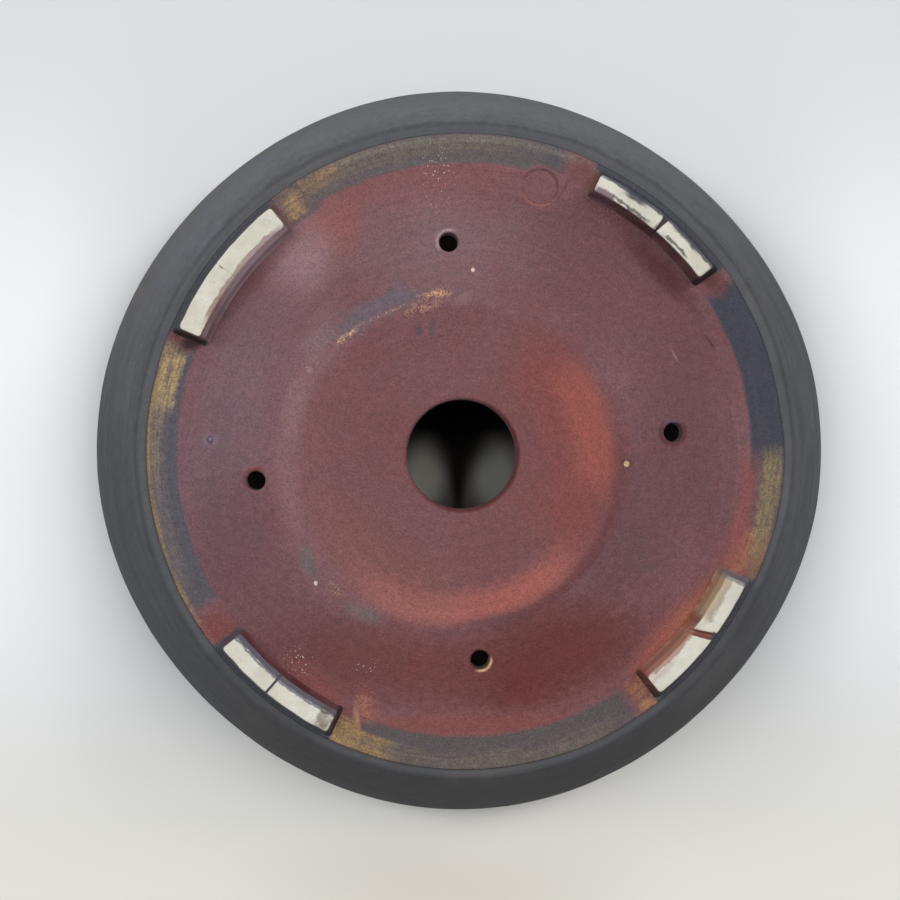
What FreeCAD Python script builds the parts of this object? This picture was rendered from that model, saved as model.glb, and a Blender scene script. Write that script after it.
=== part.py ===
import FreeCAD, Part

import math
import os

import Sketcher
from FreeCAD import Vector

# Round clay pot on four arc feet, with a drain hole, four wire holes and an inward lip.
# It is luted together from a floor slab, a lapped side wall, a rim lip, four feet and
# a thin square pad. Millimetres, +Z up, standing on z = 0 with the origin under its middle.
# Right is +X and back is +Y.

# Driving dimensions

SIZES = {
    # floor slab
    "slab_radius": 87,
    "slab_thickness": 8,
    "slab_edge_radius": 0.9,
    "drain_diameter": 30,
    "drain_edge_radius": 1,
    "drain_offset_width": 1.35,
    "drain_offset_angle": -28,
    "wire_hole_diameter": 5.2,
    "wire_hole_edge_radius": 0.5,
    # side wall
    "luting_gap": 0.3,
    "skirt_thickness": 2.1,
    "skirt_height": 1,
    "skirt_edge_radius": 0.8,
    "flare_width": 15.8,
    "shoulder_height": 47,
    "shoulder_band_height": 2,
    "wall_thickness": 7,
    "coil_radius": 5,
    "coil_toe_height": 0.6,
    # rim lip
    "lip_height": 10,
    "lip_width": 13,
    "lip_thickness": 6.5,
    "lip_outer_edge_radius": 6,
    "lip_inner_edge_radius": 2.5,
    # feet
    "foot_height": 9,
    "foot_outer_taper_width": 1.8,
    "foot_inner_taper_width": 0.4,
    "foot_end_taper_width": 1.3,
    "foot_bevel_height": 2.5,
    "foot_corner_radius": 0.8,
    "notch_depth": 2.2,
    # pad with a pressed ring
    "pad_width": 13,
    "pad_thickness": 0.6,
    "pad_corner_radius": 0.5,
    "pad_inset_width": 12.1,
    "pad_place_angle": 111.1,
    "pad_turn_angle": 33,
    "ring_diameter": 10.1,
    "ring_width": 0.6,
    "ring_depth": 0.3,
}

# Each wire hole's place. They were marked by eye, so they are a little uneven.

WIRE_HOLES = {
    "wire_hole_right": {"place_radius": 57.8, "place_angle": -2.4},
    "wire_hole_back": {"place_radius": 57.4, "place_angle": 90.7},
    "wire_hole_left": {"place_radius": 57.1, "place_angle": 180.1},
    "wire_hole_front": {"place_radius": 57, "place_angle": 271.5},
}

# Each foot's place round the pot, its span on the ground and how it was cut. They were
# cut and set by hand, so each stands a little differently inside the slab's edge.

FEET = {
    "foot_back_right": {
        "place_angle": 42.6,
        "span_angle": 27.9,
        "setback_width": 0.9,
        "root_width": 9.9,
        "bevel_width": 1.7,
        "notch_width": 0.5,
    },
    "foot_back_left": {
        "place_angle": 134.9,
        "span_angle": 27.3,
        "setback_width": 2,
        "root_width": 7.4,
        "bevel_width": 0.5,
        "notch_width": 1.9,
    },
    "foot_front_left": {
        "place_angle": 223.7,
        "span_angle": 26.1,
        "setback_width": 1.7,
        "root_width": 9.1,
        "bevel_width": 1.3,
        "notch_width": 1.3,
    },
    "foot_front_right": {
        "place_angle": 314.4,
        "span_angle": 24.7,
        "setback_width": 0.9,
        "root_width": 8.5,
        "bevel_width": 1.5,
        "notch_width": 0.8,
    },
}

# How closely an edge has to match the place where it is looked for

TOLERANCE = 0.001

doc = FreeCAD.newDocument("FootedPot")
sheet = doc.addObject("Spreadsheet::Sheet", "Sizes")


def fill_sheet():
    sizes = dict(SIZES)
    for piece, values in (WIRE_HOLES | FEET).items():
        for key, value in values.items():
            sizes[f"{piece}_{key}"] = value
    for row, (alias, value) in enumerate(sizes.items(), start=1):
        sheet.set(f"A{row}", alias)
        sheet.set(f"B{row}", str(value))
        sheet.setAlias(f"B{row}", alias)
    doc.recompute()


# Expressions that several pieces share

FLOOR_TOP = "Sizes.slab_thickness"
SKIRT_INNER = "(Sizes.slab_radius + Sizes.luting_gap)"
SKIRT_OUTER = f"({SKIRT_INNER} + Sizes.skirt_thickness)"
RIM_RADIUS = f"({SKIRT_OUTER} + Sizes.flare_width)"
WALL_TOP = "(Sizes.shoulder_height + Sizes.shoulder_band_height)"
WALL_INNER = f"({RIM_RADIUS} - Sizes.wall_thickness)"
LIP_INNER = f"({RIM_RADIUS} - Sizes.lip_width)"
LIP_UNDER = "(Sizes.lip_height - Sizes.lip_thickness)"
BOWL_RISE = "(Sizes.shoulder_height - Sizes.skirt_height)"
BOWL_RADIUS = f"((pow(Sizes.flare_width; 2) + pow({BOWL_RISE}; 2)) / (2 * Sizes.flare_width))"
BOWL_CENTRE = f"({RIM_RADIUS} - {BOWL_RADIUS})"
HOLLOW_RADIUS = f"({BOWL_RADIUS} - Sizes.wall_thickness)"


def polar(reach, angle):
    """Bound distances across and up to a place that is reach away at that angle."""
    return f"{reach} * cos({angle} * 1 deg)", f"{reach} * sin({angle} * 1 deg)"


# Sketch and feature helpers

def new_body(label):
    body = doc.addObject("PartDesign::Body", label)
    body.Label = label
    return body


def origin_plane(body, role):
    return next(item for item in body.Origin.OriginFeatures if item.Role == role)


def new_sketch(body, name, role):
    """A sketch on one of the body's own origin planes."""
    sketch = body.newObject("Sketcher::SketchObject", name)
    sketch.AttachmentSupport = [(origin_plane(body, role), "")]
    sketch.MapMode = "FlatFace"
    return sketch


def number(owner, expression):
    value = owner.evalExpression(expression)
    return float(getattr(value, "Value", value))


def dimension(sketch, kind, expression, *where):
    """Adds one dimension and binds it to the sheet."""
    value = number(sketch, expression)
    index = sketch.addConstraint(Sketcher.Constraint(kind, *where, value))
    sketch.renameConstraint(index, f"{kind}{index}")
    sketch.setExpression(f"Constraints.{kind}{index}", expression)


def place_point(sketch, curve, end, across, up):
    """Fixes one end of a curve at bound distances from the sketch's origin."""
    origin, first_axis, second_axis = (-1, 1), -1, -2
    if across == "0":
        sketch.addConstraint(Sketcher.Constraint("PointOnObject", curve, end, second_axis))
    else:
        dimension(sketch, "DistanceX", across, *origin, curve, end)
    if up == "0":
        sketch.addConstraint(Sketcher.Constraint("PointOnObject", curve, end, first_axis))
    else:
        dimension(sketch, "DistanceY", up, *origin, curve, end)


def arc_between(start, end, radius, turn):
    """The short arc from start to end, turning left (+1) or right (-1)."""
    chord = end - start
    half = chord.Length / 2
    to_centre = Vector(-chord.y, chord.x, 0).normalize() * turn
    centre = (start + end) / 2 + to_centre * math.sqrt(max(radius**2 - half**2, 0))
    first, last = (start, end) if turn > 0 else (end, start)
    angles = [math.atan2(point.y - centre.y, point.x - centre.x) for point in (first, last)]
    if angles[1] < angles[0]:
        angles[1] += 2 * math.pi
    whole = Part.Circle(centre, Vector(0, 0, 1), radius)
    return Part.ArcOfCircle(whole, angles[0], angles[1])


def outline(sketch, corners, arcs=None):
    """A closed outline through bound corners; arcs maps a side to (radius, turn)."""
    arcs = arcs or {}
    points = [Vector(number(sketch, x), number(sketch, y), 0) for x, y in corners]
    count = len(points)
    ends = []
    for side in range(count):
        start, end = points[side], points[(side + 1) % count]
        if side in arcs:
            radius, turn = arcs[side]
            curve = arc_between(start, end, number(sketch, radius), turn)
            ends.append((1, 2) if turn > 0 else (2, 1))
        else:
            curve = Part.LineSegment(start, end)
            ends.append((1, 2))
        sketch.addGeometry(curve, False)
    for side in range(count):
        place_point(sketch, side, ends[side][0], *corners[side])
        following = (side + 1) % count
        sketch.addConstraint(
            Sketcher.Constraint("Coincident", side, ends[side][1], following, ends[following][0])
        )
    for side, (radius, _) in arcs.items():
        dimension(sketch, "Radius", radius, side)
    return sketch


def circle(sketch, diameter, across="0", up="0"):
    middle = Vector(number(sketch, across), number(sketch, up), 0)
    shape = Part.Circle(middle, Vector(0, 0, 1), number(sketch, diameter) / 2)
    curve = sketch.addGeometry(shape, False)
    place_point(sketch, curve, 3, across, up)
    dimension(sketch, "Diameter", diameter, curve)
    return sketch


def add_pad(body, name, sketch, length):
    pad = body.newObject("PartDesign::Pad", name)
    pad.Profile = sketch
    pad.setExpression("Length", length)
    doc.recompute()
    return pad


def add_revolution(body, name, sketch):
    turned = body.newObject("PartDesign::Revolution", name)
    turned.Profile = sketch
    turned.ReferenceAxis = (sketch, ["V_Axis"])
    turned.Angle = 360
    doc.recompute()
    return turned


def add_groove(body, name, sketch):
    """Cuts a full turn of the section, and makes sure that it cut."""
    before = body.Shape.Volume
    groove = body.newObject("PartDesign::Groove", name)
    groove.Profile = sketch
    groove.ReferenceAxis = (sketch, ["V_Axis"])
    groove.Angle = 360
    doc.recompute()
    if body.Shape.Volume >= before:
        raise RuntimeError(f"{name} cut nothing")
    return groove


def add_pocket(body, name, sketch, depth):
    """Cuts from the sketch's plane along its normal, and makes sure that it cut."""
    before = body.Shape.Volume
    pocket = body.newObject("PartDesign::Pocket", name)
    pocket.Profile = sketch
    pocket.Reversed = True
    pocket.setExpression("Length", depth)
    doc.recompute()
    if body.Shape.Volume >= before:
        raise RuntimeError(f"{name} cut nothing")
    return pocket


def add_fillet(body, name, base, radius, chosen):
    """Rounds the edges of the base feature that the test chooses."""
    edges = [f"Edge{i}" for i, edge in enumerate(base.Shape.Edges, start=1) if chosen(edge)]
    if not edges:
        raise RuntimeError(f"{name} found no edge")
    fillet = body.newObject("PartDesign::Fillet", name)
    fillet.Base = (base, edges)
    fillet.setExpression("Radius", radius)
    doc.recompute()
    return fillet


def ring_edge(radius, *heights):
    """A test for a full round edge of this radius that lies at one of these heights."""
    wide = 2 * number(sheet, radius)
    levels = [number(sheet, height) for height in heights]

    def chosen(edge):
        box = edge.BoundBox
        at_level = any(math.isclose(box.ZMin, level, abs_tol=TOLERANCE) for level in levels)
        flat = math.isclose(box.ZLength, 0, abs_tol=TOLERANCE)
        return at_level and flat and math.isclose(box.XLength, wide, abs_tol=TOLERANCE)
    return chosen


def upright_edge(height):
    """A test for an edge that rises through the whole of this height."""
    tall = number(sheet, height)
    return lambda edge: math.isclose(edge.BoundBox.ZLength, tall, abs_tol=TOLERANCE)


# Floor slab, with the drain hole and the wire holes

def make_floor_slab():
    body = new_body("floor_slab")
    disc = new_sketch(body, "SlabDisc", "XY_Plane")
    circle(disc, "2 * Sizes.slab_radius")
    add_pad(body, "SlabPad", disc, FLOOR_TOP)

    drain = new_sketch(body, "DrainCircle", "XY_Plane")
    middle = polar("Sizes.drain_offset_width", "Sizes.drain_offset_angle")
    circle(drain, "Sizes.drain_diameter", *middle)
    add_pocket(body, "DrainHole", drain, FLOOR_TOP)

    wire = new_sketch(body, "WireHoleCircles", "XY_Plane")
    for hole in WIRE_HOLES:
        place = polar(f"Sizes.{hole}_place_radius", f"Sizes.{hole}_place_angle")
        circle(wire, "Sizes.wire_hole_diameter", *place)
    holes = add_pocket(body, "WireHoles", wire, FLOOR_TOP)

    rounded = add_fillet(
        body, "DrainEdges", holes, "Sizes.drain_edge_radius",
        ring_edge("Sizes.drain_diameter / 2", "0", FLOOR_TOP),
    )
    rounded = add_fillet(
        body, "WireHoleEdges", rounded, "Sizes.wire_hole_edge_radius",
        ring_edge("Sizes.wire_hole_diameter / 2", "0"),
    )
    add_fillet(
        body, "SlabEdge", rounded, "Sizes.slab_edge_radius", ring_edge("Sizes.slab_radius", "0")
    )
    body.setExpression("Placement.Base.z", "Sizes.foot_height")
    return body


# Side wall, lapped round the slab's edge, with the coil that seals it to the floor inside

def make_side_wall():
    body = new_body("side_wall")
    coil_low = f"({FLOOR_TOP} + Sizes.coil_toe_height)"
    coil_height = f"({coil_low} + Sizes.coil_radius)"
    coil_reach = f"({HOLLOW_RADIUS} - Sizes.coil_radius)"
    coil_drop = f"(Sizes.shoulder_height - {coil_height})"
    coil_run = f"sqrt(pow({coil_reach}; 2) - pow({coil_drop}; 2))"
    coil_across = f"({BOWL_CENTRE} + {coil_run})"
    grown_share = f"({HOLLOW_RADIUS} / {coil_reach})"
    corners = [
        (SKIRT_INNER, "Sizes.skirt_height"),
        (SKIRT_OUTER, "Sizes.skirt_height"),
        (RIM_RADIUS, "Sizes.shoulder_height"),
        (RIM_RADIUS, WALL_TOP),
        (WALL_INNER, WALL_TOP),
        (WALL_INNER, "Sizes.shoulder_height"),
        (
            f"{BOWL_CENTRE} + {coil_run} * {grown_share}",
            f"Sizes.shoulder_height - {coil_drop} * {grown_share}",
        ),
        (coil_across, coil_low),
        (coil_across, FLOOR_TOP),
        (SKIRT_INNER, FLOOR_TOP),
    ]
    arcs = {
        1: (BOWL_RADIUS, 1),
        5: (HOLLOW_RADIUS, -1),
        6: ("Sizes.coil_radius", -1),
    }
    section = outline(new_sketch(body, "WallSection", "XZ_Plane"), corners, arcs)
    turned = add_revolution(body, "WallTurned", section)
    add_fillet(
        body, "SkirtEdge", turned, "Sizes.skirt_edge_radius",
        ring_edge(SKIRT_OUTER, "Sizes.skirt_height"),
    )
    body.setExpression("Placement.Base.z", "Sizes.foot_height")
    return body


# Rim lip, turned inward over the wall's top edge

def make_rim_lip():
    body = new_body("rim_lip")
    corners = [
        (WALL_INNER, "0"),
        (RIM_RADIUS, "0"),
        (RIM_RADIUS, "Sizes.lip_height"),
        (LIP_INNER, "Sizes.lip_height"),
        (LIP_INNER, LIP_UNDER),
    ]
    section = outline(new_sketch(body, "LipSection", "XZ_Plane"), corners)
    turned = add_revolution(body, "LipTurned", section)
    rounded = add_fillet(
        body, "LipOuterEdge", turned, "Sizes.lip_outer_edge_radius",
        ring_edge(RIM_RADIUS, "Sizes.lip_height"),
    )
    add_fillet(
        body, "LipInnerEdges", rounded, "Sizes.lip_inner_edge_radius",
        ring_edge(LIP_INNER, "Sizes.lip_height", LIP_UNDER),
    )
    body.setExpression("Placement.Base.z", f"Sizes.foot_height + {WALL_TOP}")
    return body


# Feet: arc blocks that narrow towards the ground, with a bevel inside and a middle notch

def make_foot(label):
    body = new_body(label)
    root_width = f"Sizes.{label}_root_width"
    root_outer = f"(Sizes.slab_radius - Sizes.{label}_setback_width)"
    root_inner = f"({root_outer} - {root_width})"
    ground_outer = f"({root_outer} - Sizes.foot_outer_taper_width)"
    ground_inner = f"({root_inner} + Sizes.foot_inner_taper_width)"
    section = new_sketch(body, "FootSection", "XZ_Plane")
    corners = [
        (ground_inner, "0"),
        (ground_outer, "0"),
        (root_outer, "Sizes.foot_height"),
        (root_inner, "Sizes.foot_height"),
    ]
    turned = add_revolution(body, "FootArc", outline(section, corners))
    turned.Midplane = True
    end_angle = f"Sizes.foot_end_taper_width / {root_outer} * 1 rad"
    root_half = f"(Sizes.{label}_span_angle / 2 * 1 deg + {end_angle})"
    turned.setExpression("Angle", f"2 * {root_half}")
    doc.recompute()

    end = new_sketch(body, "EndSection", "YZ_Plane")
    end.AttachmentOffset = FreeCAD.Placement(Vector(), FreeCAD.Rotation(Vector(0, 1, 0), 1))
    end.setExpression("AttachmentOffset.Rotation.Angle", root_half)
    doc.recompute()
    corners = [
        ("-Sizes.foot_end_taper_width", "0"),
        (root_width, "0"),
        (root_width, "Sizes.foot_height"),
        ("0", "Sizes.foot_height"),
    ]
    lean = add_pocket(body, "LeaningEnd", outline(end, corners), root_outer)
    both = body.newObject("PartDesign::Mirrored", "LeaningEnds")
    both.Originals = [lean]
    both.MirrorPlane = (origin_plane(body, "XZ_Plane"), [""])
    body.Tip = both
    doc.recompute()
    add_fillet(
        body, "FootCorners", both, "Sizes.foot_corner_radius", upright_edge("Sizes.foot_height")
    )

    bevel = new_sketch(body, "BevelSection", "XZ_Plane")
    corners = [
        (root_inner, "0"),
        (f"{ground_inner} + Sizes.{label}_bevel_width", "0"),
        (ground_inner, "Sizes.foot_bevel_height"),
        (root_inner, "Sizes.foot_bevel_height"),
    ]
    add_groove(body, "InnerBevel", outline(bevel, corners))

    cut = new_sketch(body, "NotchSection", "YZ_Plane")
    half_notch = f"Sizes.{label}_notch_width / 2"
    outline(cut, [(f"-{half_notch}", "0"), (half_notch, "0"), ("0", "Sizes.notch_depth")])
    add_pocket(body, "Notch", cut, root_outer)
    body.setExpression("Placement.Rotation.Angle", f"Sizes.{label}_place_angle")
    return body


# Thin square pad under the floor, with a ring pressed into it

def make_seal_pad():
    body = new_body("seal_pad")
    half = "Sizes.pad_width / 2"
    corners = [(f"-{half}", f"-{half}"), (half, f"-{half}"), (half, half), (f"-{half}", half)]
    square = outline(new_sketch(body, "PadSquare", "XY_Plane"), corners)
    pad = add_pad(body, "PadBlock", square, "Sizes.pad_thickness")
    add_fillet(
        body, "PadCorners", pad, "Sizes.pad_corner_radius", upright_edge("Sizes.pad_thickness")
    )
    ring = new_sketch(body, "RingCircles", "XY_Plane")
    circle(ring, "Sizes.ring_diameter")
    circle(ring, "Sizes.ring_diameter - 2 * Sizes.ring_width")
    add_pocket(body, "PressedRing", ring, "Sizes.ring_depth")
    reach = "(Sizes.slab_radius - Sizes.pad_inset_width)"
    across, up = polar(reach, "Sizes.pad_place_angle")
    body.setExpression("Placement.Base.x", across)
    body.setExpression("Placement.Base.y", up)
    body.setExpression("Placement.Base.z", "Sizes.foot_height - Sizes.pad_thickness")
    body.setExpression("Placement.Rotation.Angle", "Sizes.pad_turn_angle")
    return body


# Build, check and write every piece

def check_document(bodies):
    for item in doc.Objects:
        if "Invalid" in item.State or "Error" in item.State:
            raise RuntimeError(f"{item.Name} has failed: {item.State}")
    for body in bodies:
        shape = body.Shape
        if shape.isNull() or not shape.isValid() or len(shape.Solids) != 1:
            raise RuntimeError(f"{body.Label} is not one valid solid")


fill_sheet()
pieces = [make_floor_slab(), make_side_wall(), make_rim_lip()]
pieces += [make_foot(label) for label in FEET]
pieces.append(make_seal_pad())
doc.recompute()
check_document(pieces)

os.makedirs("parts", exist_ok=True)
for piece in pieces:
    piece.Shape.exportStep(f"parts/{piece.Label}.step")
    box = piece.Shape.optimalBoundingBox()
    print(f"{piece.Label}: {piece.Shape.Volume:.1f} mm3, z {box.ZMin:.2f} to {box.ZMax:.2f}")
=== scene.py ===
import math

import bmesh
import bpy
from mathutils import Matrix, Vector, noise


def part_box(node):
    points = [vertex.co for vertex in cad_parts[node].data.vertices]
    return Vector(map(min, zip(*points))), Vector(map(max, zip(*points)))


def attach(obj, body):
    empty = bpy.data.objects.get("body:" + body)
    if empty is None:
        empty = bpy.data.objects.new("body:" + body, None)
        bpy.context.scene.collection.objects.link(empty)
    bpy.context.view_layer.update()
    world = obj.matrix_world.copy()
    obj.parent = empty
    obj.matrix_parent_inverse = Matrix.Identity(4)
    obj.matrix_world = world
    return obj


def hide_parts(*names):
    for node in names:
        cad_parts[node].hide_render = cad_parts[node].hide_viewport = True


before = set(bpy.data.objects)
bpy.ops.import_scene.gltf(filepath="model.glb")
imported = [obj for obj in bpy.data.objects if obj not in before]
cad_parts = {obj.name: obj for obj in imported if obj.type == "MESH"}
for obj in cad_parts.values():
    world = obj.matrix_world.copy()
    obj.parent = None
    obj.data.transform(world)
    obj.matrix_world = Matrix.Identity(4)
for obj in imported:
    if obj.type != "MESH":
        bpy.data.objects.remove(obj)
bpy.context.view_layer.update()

# Round clay pot that stands on its feet, while the camera looks up at it from below. Points are
# worked out in millimetres and angles in degrees; everything handed to the scene is in metres.

MM = 0.001

# How the photograph sees the pot. PHOTO_TURN lies between the photograph's right-hand
# direction and the pot's own X axis; across and up are the photograph's own directions.

PHOTO_TURN = math.radians(185.4)
PHOTO_MIDDLE_PX = (465.92, 451.74)
PHOTO_PX_PER_MM = 3.66

LENS_MM = 96
SENSOR_MM = 36
CAMERA_ACROSS_MM = -26.81
CAMERA_UP_MM = 7.54
CAMERA_DISTANCE_MM = 654.85
AIM_ACROSS_MM = -4.35
AIM_UP_MM = 0.48


def in_photo(across, up, height=0.0):
    """A point given by the photograph's right and up directions, seen from below."""
    right = Vector((math.cos(PHOTO_TURN), math.sin(PHOTO_TURN), 0))
    top = Vector((math.sin(PHOTO_TURN), -math.cos(PHOTO_TURN), 0))
    return right * across + top * up + Vector((0, 0, height))


def photo_mm(pixel):
    """Across and up, in millimetres from the pot's middle, of a pixel on its floor."""
    return (
        (pixel[0] - PHOTO_MIDDLE_PX[0]) / PHOTO_PX_PER_MM,
        (PHOTO_MIDDLE_PX[1] - pixel[1]) / PHOTO_PX_PER_MM,
    )


def srgb(red, green, blue):
    """A colour as it reads in the photograph, 0 to 255, turned into a render colour."""
    values = [channel / 255 for channel in (red, green, blue)]
    linear = [v / 12.92 if v <= 0.04045 else ((v + 0.055) / 1.055) ** 2.4 for v in values]
    return (*linear, 1.0)


SHEEN = (0.020, 0.022, 0.024)
SHEEN_LOSS = 0.9


def under_sheen(red, green, blue):
    """The clay colour that reads as this one once the lamps' pale sheen lies over it."""
    seen = srgb(red, green, blue)
    return (*(max((seen[i] - SHEEN[i]) / SHEEN_LOSS, 0.002) for i in range(3)), 1.0)


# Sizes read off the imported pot

def corner_mm(node):
    low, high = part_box(node)
    return low / MM, high / MM


slab_low, slab_high = corner_mm("floor_slab")
wall_low, wall_high = corner_mm("side_wall")
lip_low, lip_high = corner_mm("rim_lip")
pad_low, pad_high = corner_mm("seal_pad")

SLAB_RADIUS = slab_high.x
RIM_RADIUS = lip_high.x


def level_mm(pixel, level):
    """As photo_mm, for a pixel on a plane nearer to the camera or farther off than the floor."""
    share = 1 - (slab_low.z - level) / CAMERA_DISTANCE_MM
    across, up = photo_mm(pixel)
    return (
        CAMERA_ACROSS_MM + (across - CAMERA_ACROSS_MM) * share,
        CAMERA_UP_MM + (up - CAMERA_UP_MM) * share,
    )


def face_mm(pixel):
    """A pixel on the feet's contact faces."""
    return level_mm(pixel, 0)


def behind_mm(pixel):
    """A pixel on the sheet behind the pot's mouth."""
    return level_mm(pixel, lip_high.z)


# Sizes inside the pot's section. The seam, the edges beside it and the pressed ring follow the
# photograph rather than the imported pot.

SLAB_EDGE = 0.5
LUTING_GAP = 0.12
SKIRT_THICKNESS = 2.28
SKIRT_EDGE = 2
SHOULDER_BAND = 2
WALL_THICKNESS = 7
COIL_RADIUS = 5
COIL_TOE = 0.6
LIP_WIDTH = 13
LIP_THICKNESS = 6.5
LIP_OUTER_EDGE = 6
LIP_INNER_EDGE = 2.5
DRAIN_RADIUS = 15
DRAIN_EDGE = 1
DRAIN_PLACE = (1.35, -28)
WIRE_HOLE_RADIUS = 2.6
WIRE_HOLE_EDGE = 0.5
WIRE_HOLES = {"right": (57.8, -2.4), "back": (57.4, 90.7), "left": (57.1, 180.1), "front": (57, 271.5)}
PAD_WIDTH = 13
PAD_TURN = 33
RING_RADIUS = 5.05
RING_WIDTH = 0.45
RING_DEPTH = 0.3

SEGMENTS = 360


# Helpers for numbers

def polar(radius, turn):
    around = math.radians(turn)
    return radius * math.cos(around), radius * math.sin(around)


def ease(value, start, end):
    """0 before start, 1 after end, and a smooth rise between them."""
    share = min(max((value - start) / (end - start), 0), 1)
    return share * share * (3 - 2 * share)


def wander(x, y, z, grain, seed=0):
    """A smooth hand-made unevenness between about -1 and 1, with lumps one grain wide."""
    return noise.noise(Vector((x / grain + seed, y / grain - seed, z / grain + 2 * seed)))


def picture_angle(turn):
    """The angle counter-clockwise in the photograph of an angle round the pot."""
    return (math.degrees(PHOTO_TURN) - turn) % 360


# The rim's lobes: how many go round the pot, how far they reach and where one of them points

RIM_LOBES = ((2, 0.557, -5.9), (3, 0.214, 21.8), (4, 0.583, 1.4))
RIM_INSET = 1
LEAST_INSET = 0.02


def out_of_round(turn):
    """How far the rim lies inside its largest radius at an angle round the pot."""
    seen = math.radians(picture_angle(turn))
    lobes = sum(
        reach * math.cos(count * (seen - math.radians(peak))) for count, reach, peak in RIM_LOBES
    )
    return min(lobes - RIM_INSET, -LEAST_INSET)


def seam_wander(turn):
    """How far the floor's edge leaves its circle at an angle round the pot."""
    seen = picture_angle(turn)
    flat_top = ease(seen, 36, 46) * (1 - ease(seen, 62, 72))
    flat_low = ease(seen, 294, 304) * (1 - ease(seen, 332, 340))
    full = ease(seen, 340, 350) + 1 - ease(seen, 0, 8) if seen > 300 or seen < 8 else 0
    small = 0.12 * wander(*polar(20, turn), 0, 4)
    return 0.5 * min(full, 1) - 0.35 * flat_top - 0.3 * flat_low + small


# Pieces, put together ring by ring

class Shell:
    """The points and faces of one piece."""

    def __init__(self):
        self.points = []
        self.faces = []

    def ring(self, points):
        start = len(self.points)
        self.points.extend(points)
        return list(range(start, len(self.points)))

    def bridge(self, first, second):
        """A band of faces between two closed rings of as many points."""
        count = len(first)
        for i in range(count):
            j = (i + 1) % count
            self.faces.append((first[i], first[j], second[j], second[i]))

    def follow(self, first, rings):
        """Joins rings of points to a first ring, one after another, and gives the last one."""
        for points in rings:
            following = self.ring(points)
            self.bridge(first, following)
            first = following
        return first

    def close(self, ring, hub):
        """Closes a ring with faces that meet in a point."""
        middle = self.ring([hub])[0]
        count = len(ring)
        for i in range(count):
            self.faces.append((middle, ring[i], ring[(i + 1) % count]))

    def piece(self, name, slot, *nodes):
        """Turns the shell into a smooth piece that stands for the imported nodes."""
        mesh = bpy.data.meshes.new(name)
        mesh.from_pydata([Vector(point) * MM for point in self.points], [], self.faces)
        work = bmesh.new()
        work.from_mesh(mesh)
        bmesh.ops.recalc_face_normals(work, faces=work.faces)
        work.to_mesh(mesh)
        work.free()
        mesh.shade_smooth()
        mesh.set_sharp_from_angle(angle=math.radians(50))
        made = bpy.data.objects.new(name, mesh)
        bpy.context.scene.collection.objects.link(made)
        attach(made, "root")
        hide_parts(*nodes)
        return made


def arc(middle, radius, start, end, count):
    """Points of a section's arc, from the start angle to the end angle."""
    across, up = middle
    angles = [math.radians(start + (end - start) * i / count) for i in range(count + 1)]
    return [(across + radius * math.cos(a), up + radius * math.sin(a)) for a in angles]


def line(start, end, count):
    """Points of a section's line, without its last point."""
    return [
        (start[0] + (end[0] - start[0]) * i / count, start[1] + (end[1] - start[1]) * i / count)
        for i in range(count)
    ]


def turned(shell, section, place):
    """A closed shell of revolution; place moves each point of the section at each angle."""
    rings = []
    for radius, height in section:
        rings.append(shell.ring([place(radius, height, 360 * i / SEGMENTS) for i in range(SEGMENTS)]))
    for i, first in enumerate(rings):
        shell.bridge(first, rings[(i + 1) % len(rings)])


# Side wall and rim lip, a little out of round as the hand-made pot is

def wall_place(radius, height, turn):
    """A point of the wall or the lip, moved from the round pot to the hand-made one."""
    rise = ease(radius, SLAB_RADIUS + 3, RIM_RADIUS) if height < wall_high.z - 3 else 1
    low = ease(height, wall_low.z, wall_high.z * 0.8)
    share = max(min(rise, 1), low)
    foot = 1 - ease(radius, SLAB_RADIUS + 1, SLAB_RADIUS + 8)
    beyond_seam = ease(radius, SLAB_RADIUS + 3, SLAB_RADIUS + 9)
    lumps = 0.12 * wander(*polar(radius, turn), height, 14, 3) * beyond_seam
    moved = radius + out_of_round(turn) * share + seam_wander(turn) * foot - abs(lumps)
    return (*polar(moved, turn), height)


def wall_section():
    skirt_in = SLAB_RADIUS + LUTING_GAP
    skirt_out = skirt_in + SKIRT_THICKNESS
    shoulder = wall_high.z - SHOULDER_BAND
    flare, rise = RIM_RADIUS - skirt_out, shoulder - wall_low.z
    bowl = (flare**2 + rise**2) / (2 * flare)
    middle = (RIM_RADIUS - bowl, shoulder)
    hollow = bowl - WALL_THICKNESS
    reach = hollow - COIL_RADIUS
    coil_low = slab_high.z + COIL_TOE
    drop = shoulder - coil_low - COIL_RADIUS
    run = math.sqrt(reach**2 - drop**2)
    coil_middle = (middle[0] + run, shoulder - drop)
    lean = math.degrees(math.atan2(drop, run))
    start = math.asin((rise - SKIRT_EDGE) / (bowl - SKIRT_EDGE))
    edge_in = middle[0] + (bowl - SKIRT_EDGE) * math.cos(start)
    start = math.degrees(start)
    wall_in = RIM_RADIUS - WALL_THICKNESS
    section = line((skirt_in, wall_low.z), (edge_in, wall_low.z), 3)
    section += arc((edge_in, wall_low.z + SKIRT_EDGE), SKIRT_EDGE, -90, -start, 6)
    section += arc(middle, bowl, -start, 0, 46)[1:]
    section += line((RIM_RADIUS, shoulder + 0.7), (RIM_RADIUS, wall_high.z), 2)
    section += line((RIM_RADIUS, wall_high.z), (wall_in, wall_high.z), 3)
    section += line((wall_in, wall_high.z), (wall_in, shoulder), 2)
    section += arc(middle, hollow, 0, -lean, 30)
    section += arc(coil_middle, COIL_RADIUS, -lean, -90, 8)[1:]
    section += line((coil_middle[0], coil_low - 0.2), (coil_middle[0], slab_high.z), 2)
    section += line((coil_middle[0], slab_high.z), (skirt_in, slab_high.z), 3)
    section += line((skirt_in, slab_high.z), (skirt_in, wall_low.z), 6)
    return section


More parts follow.
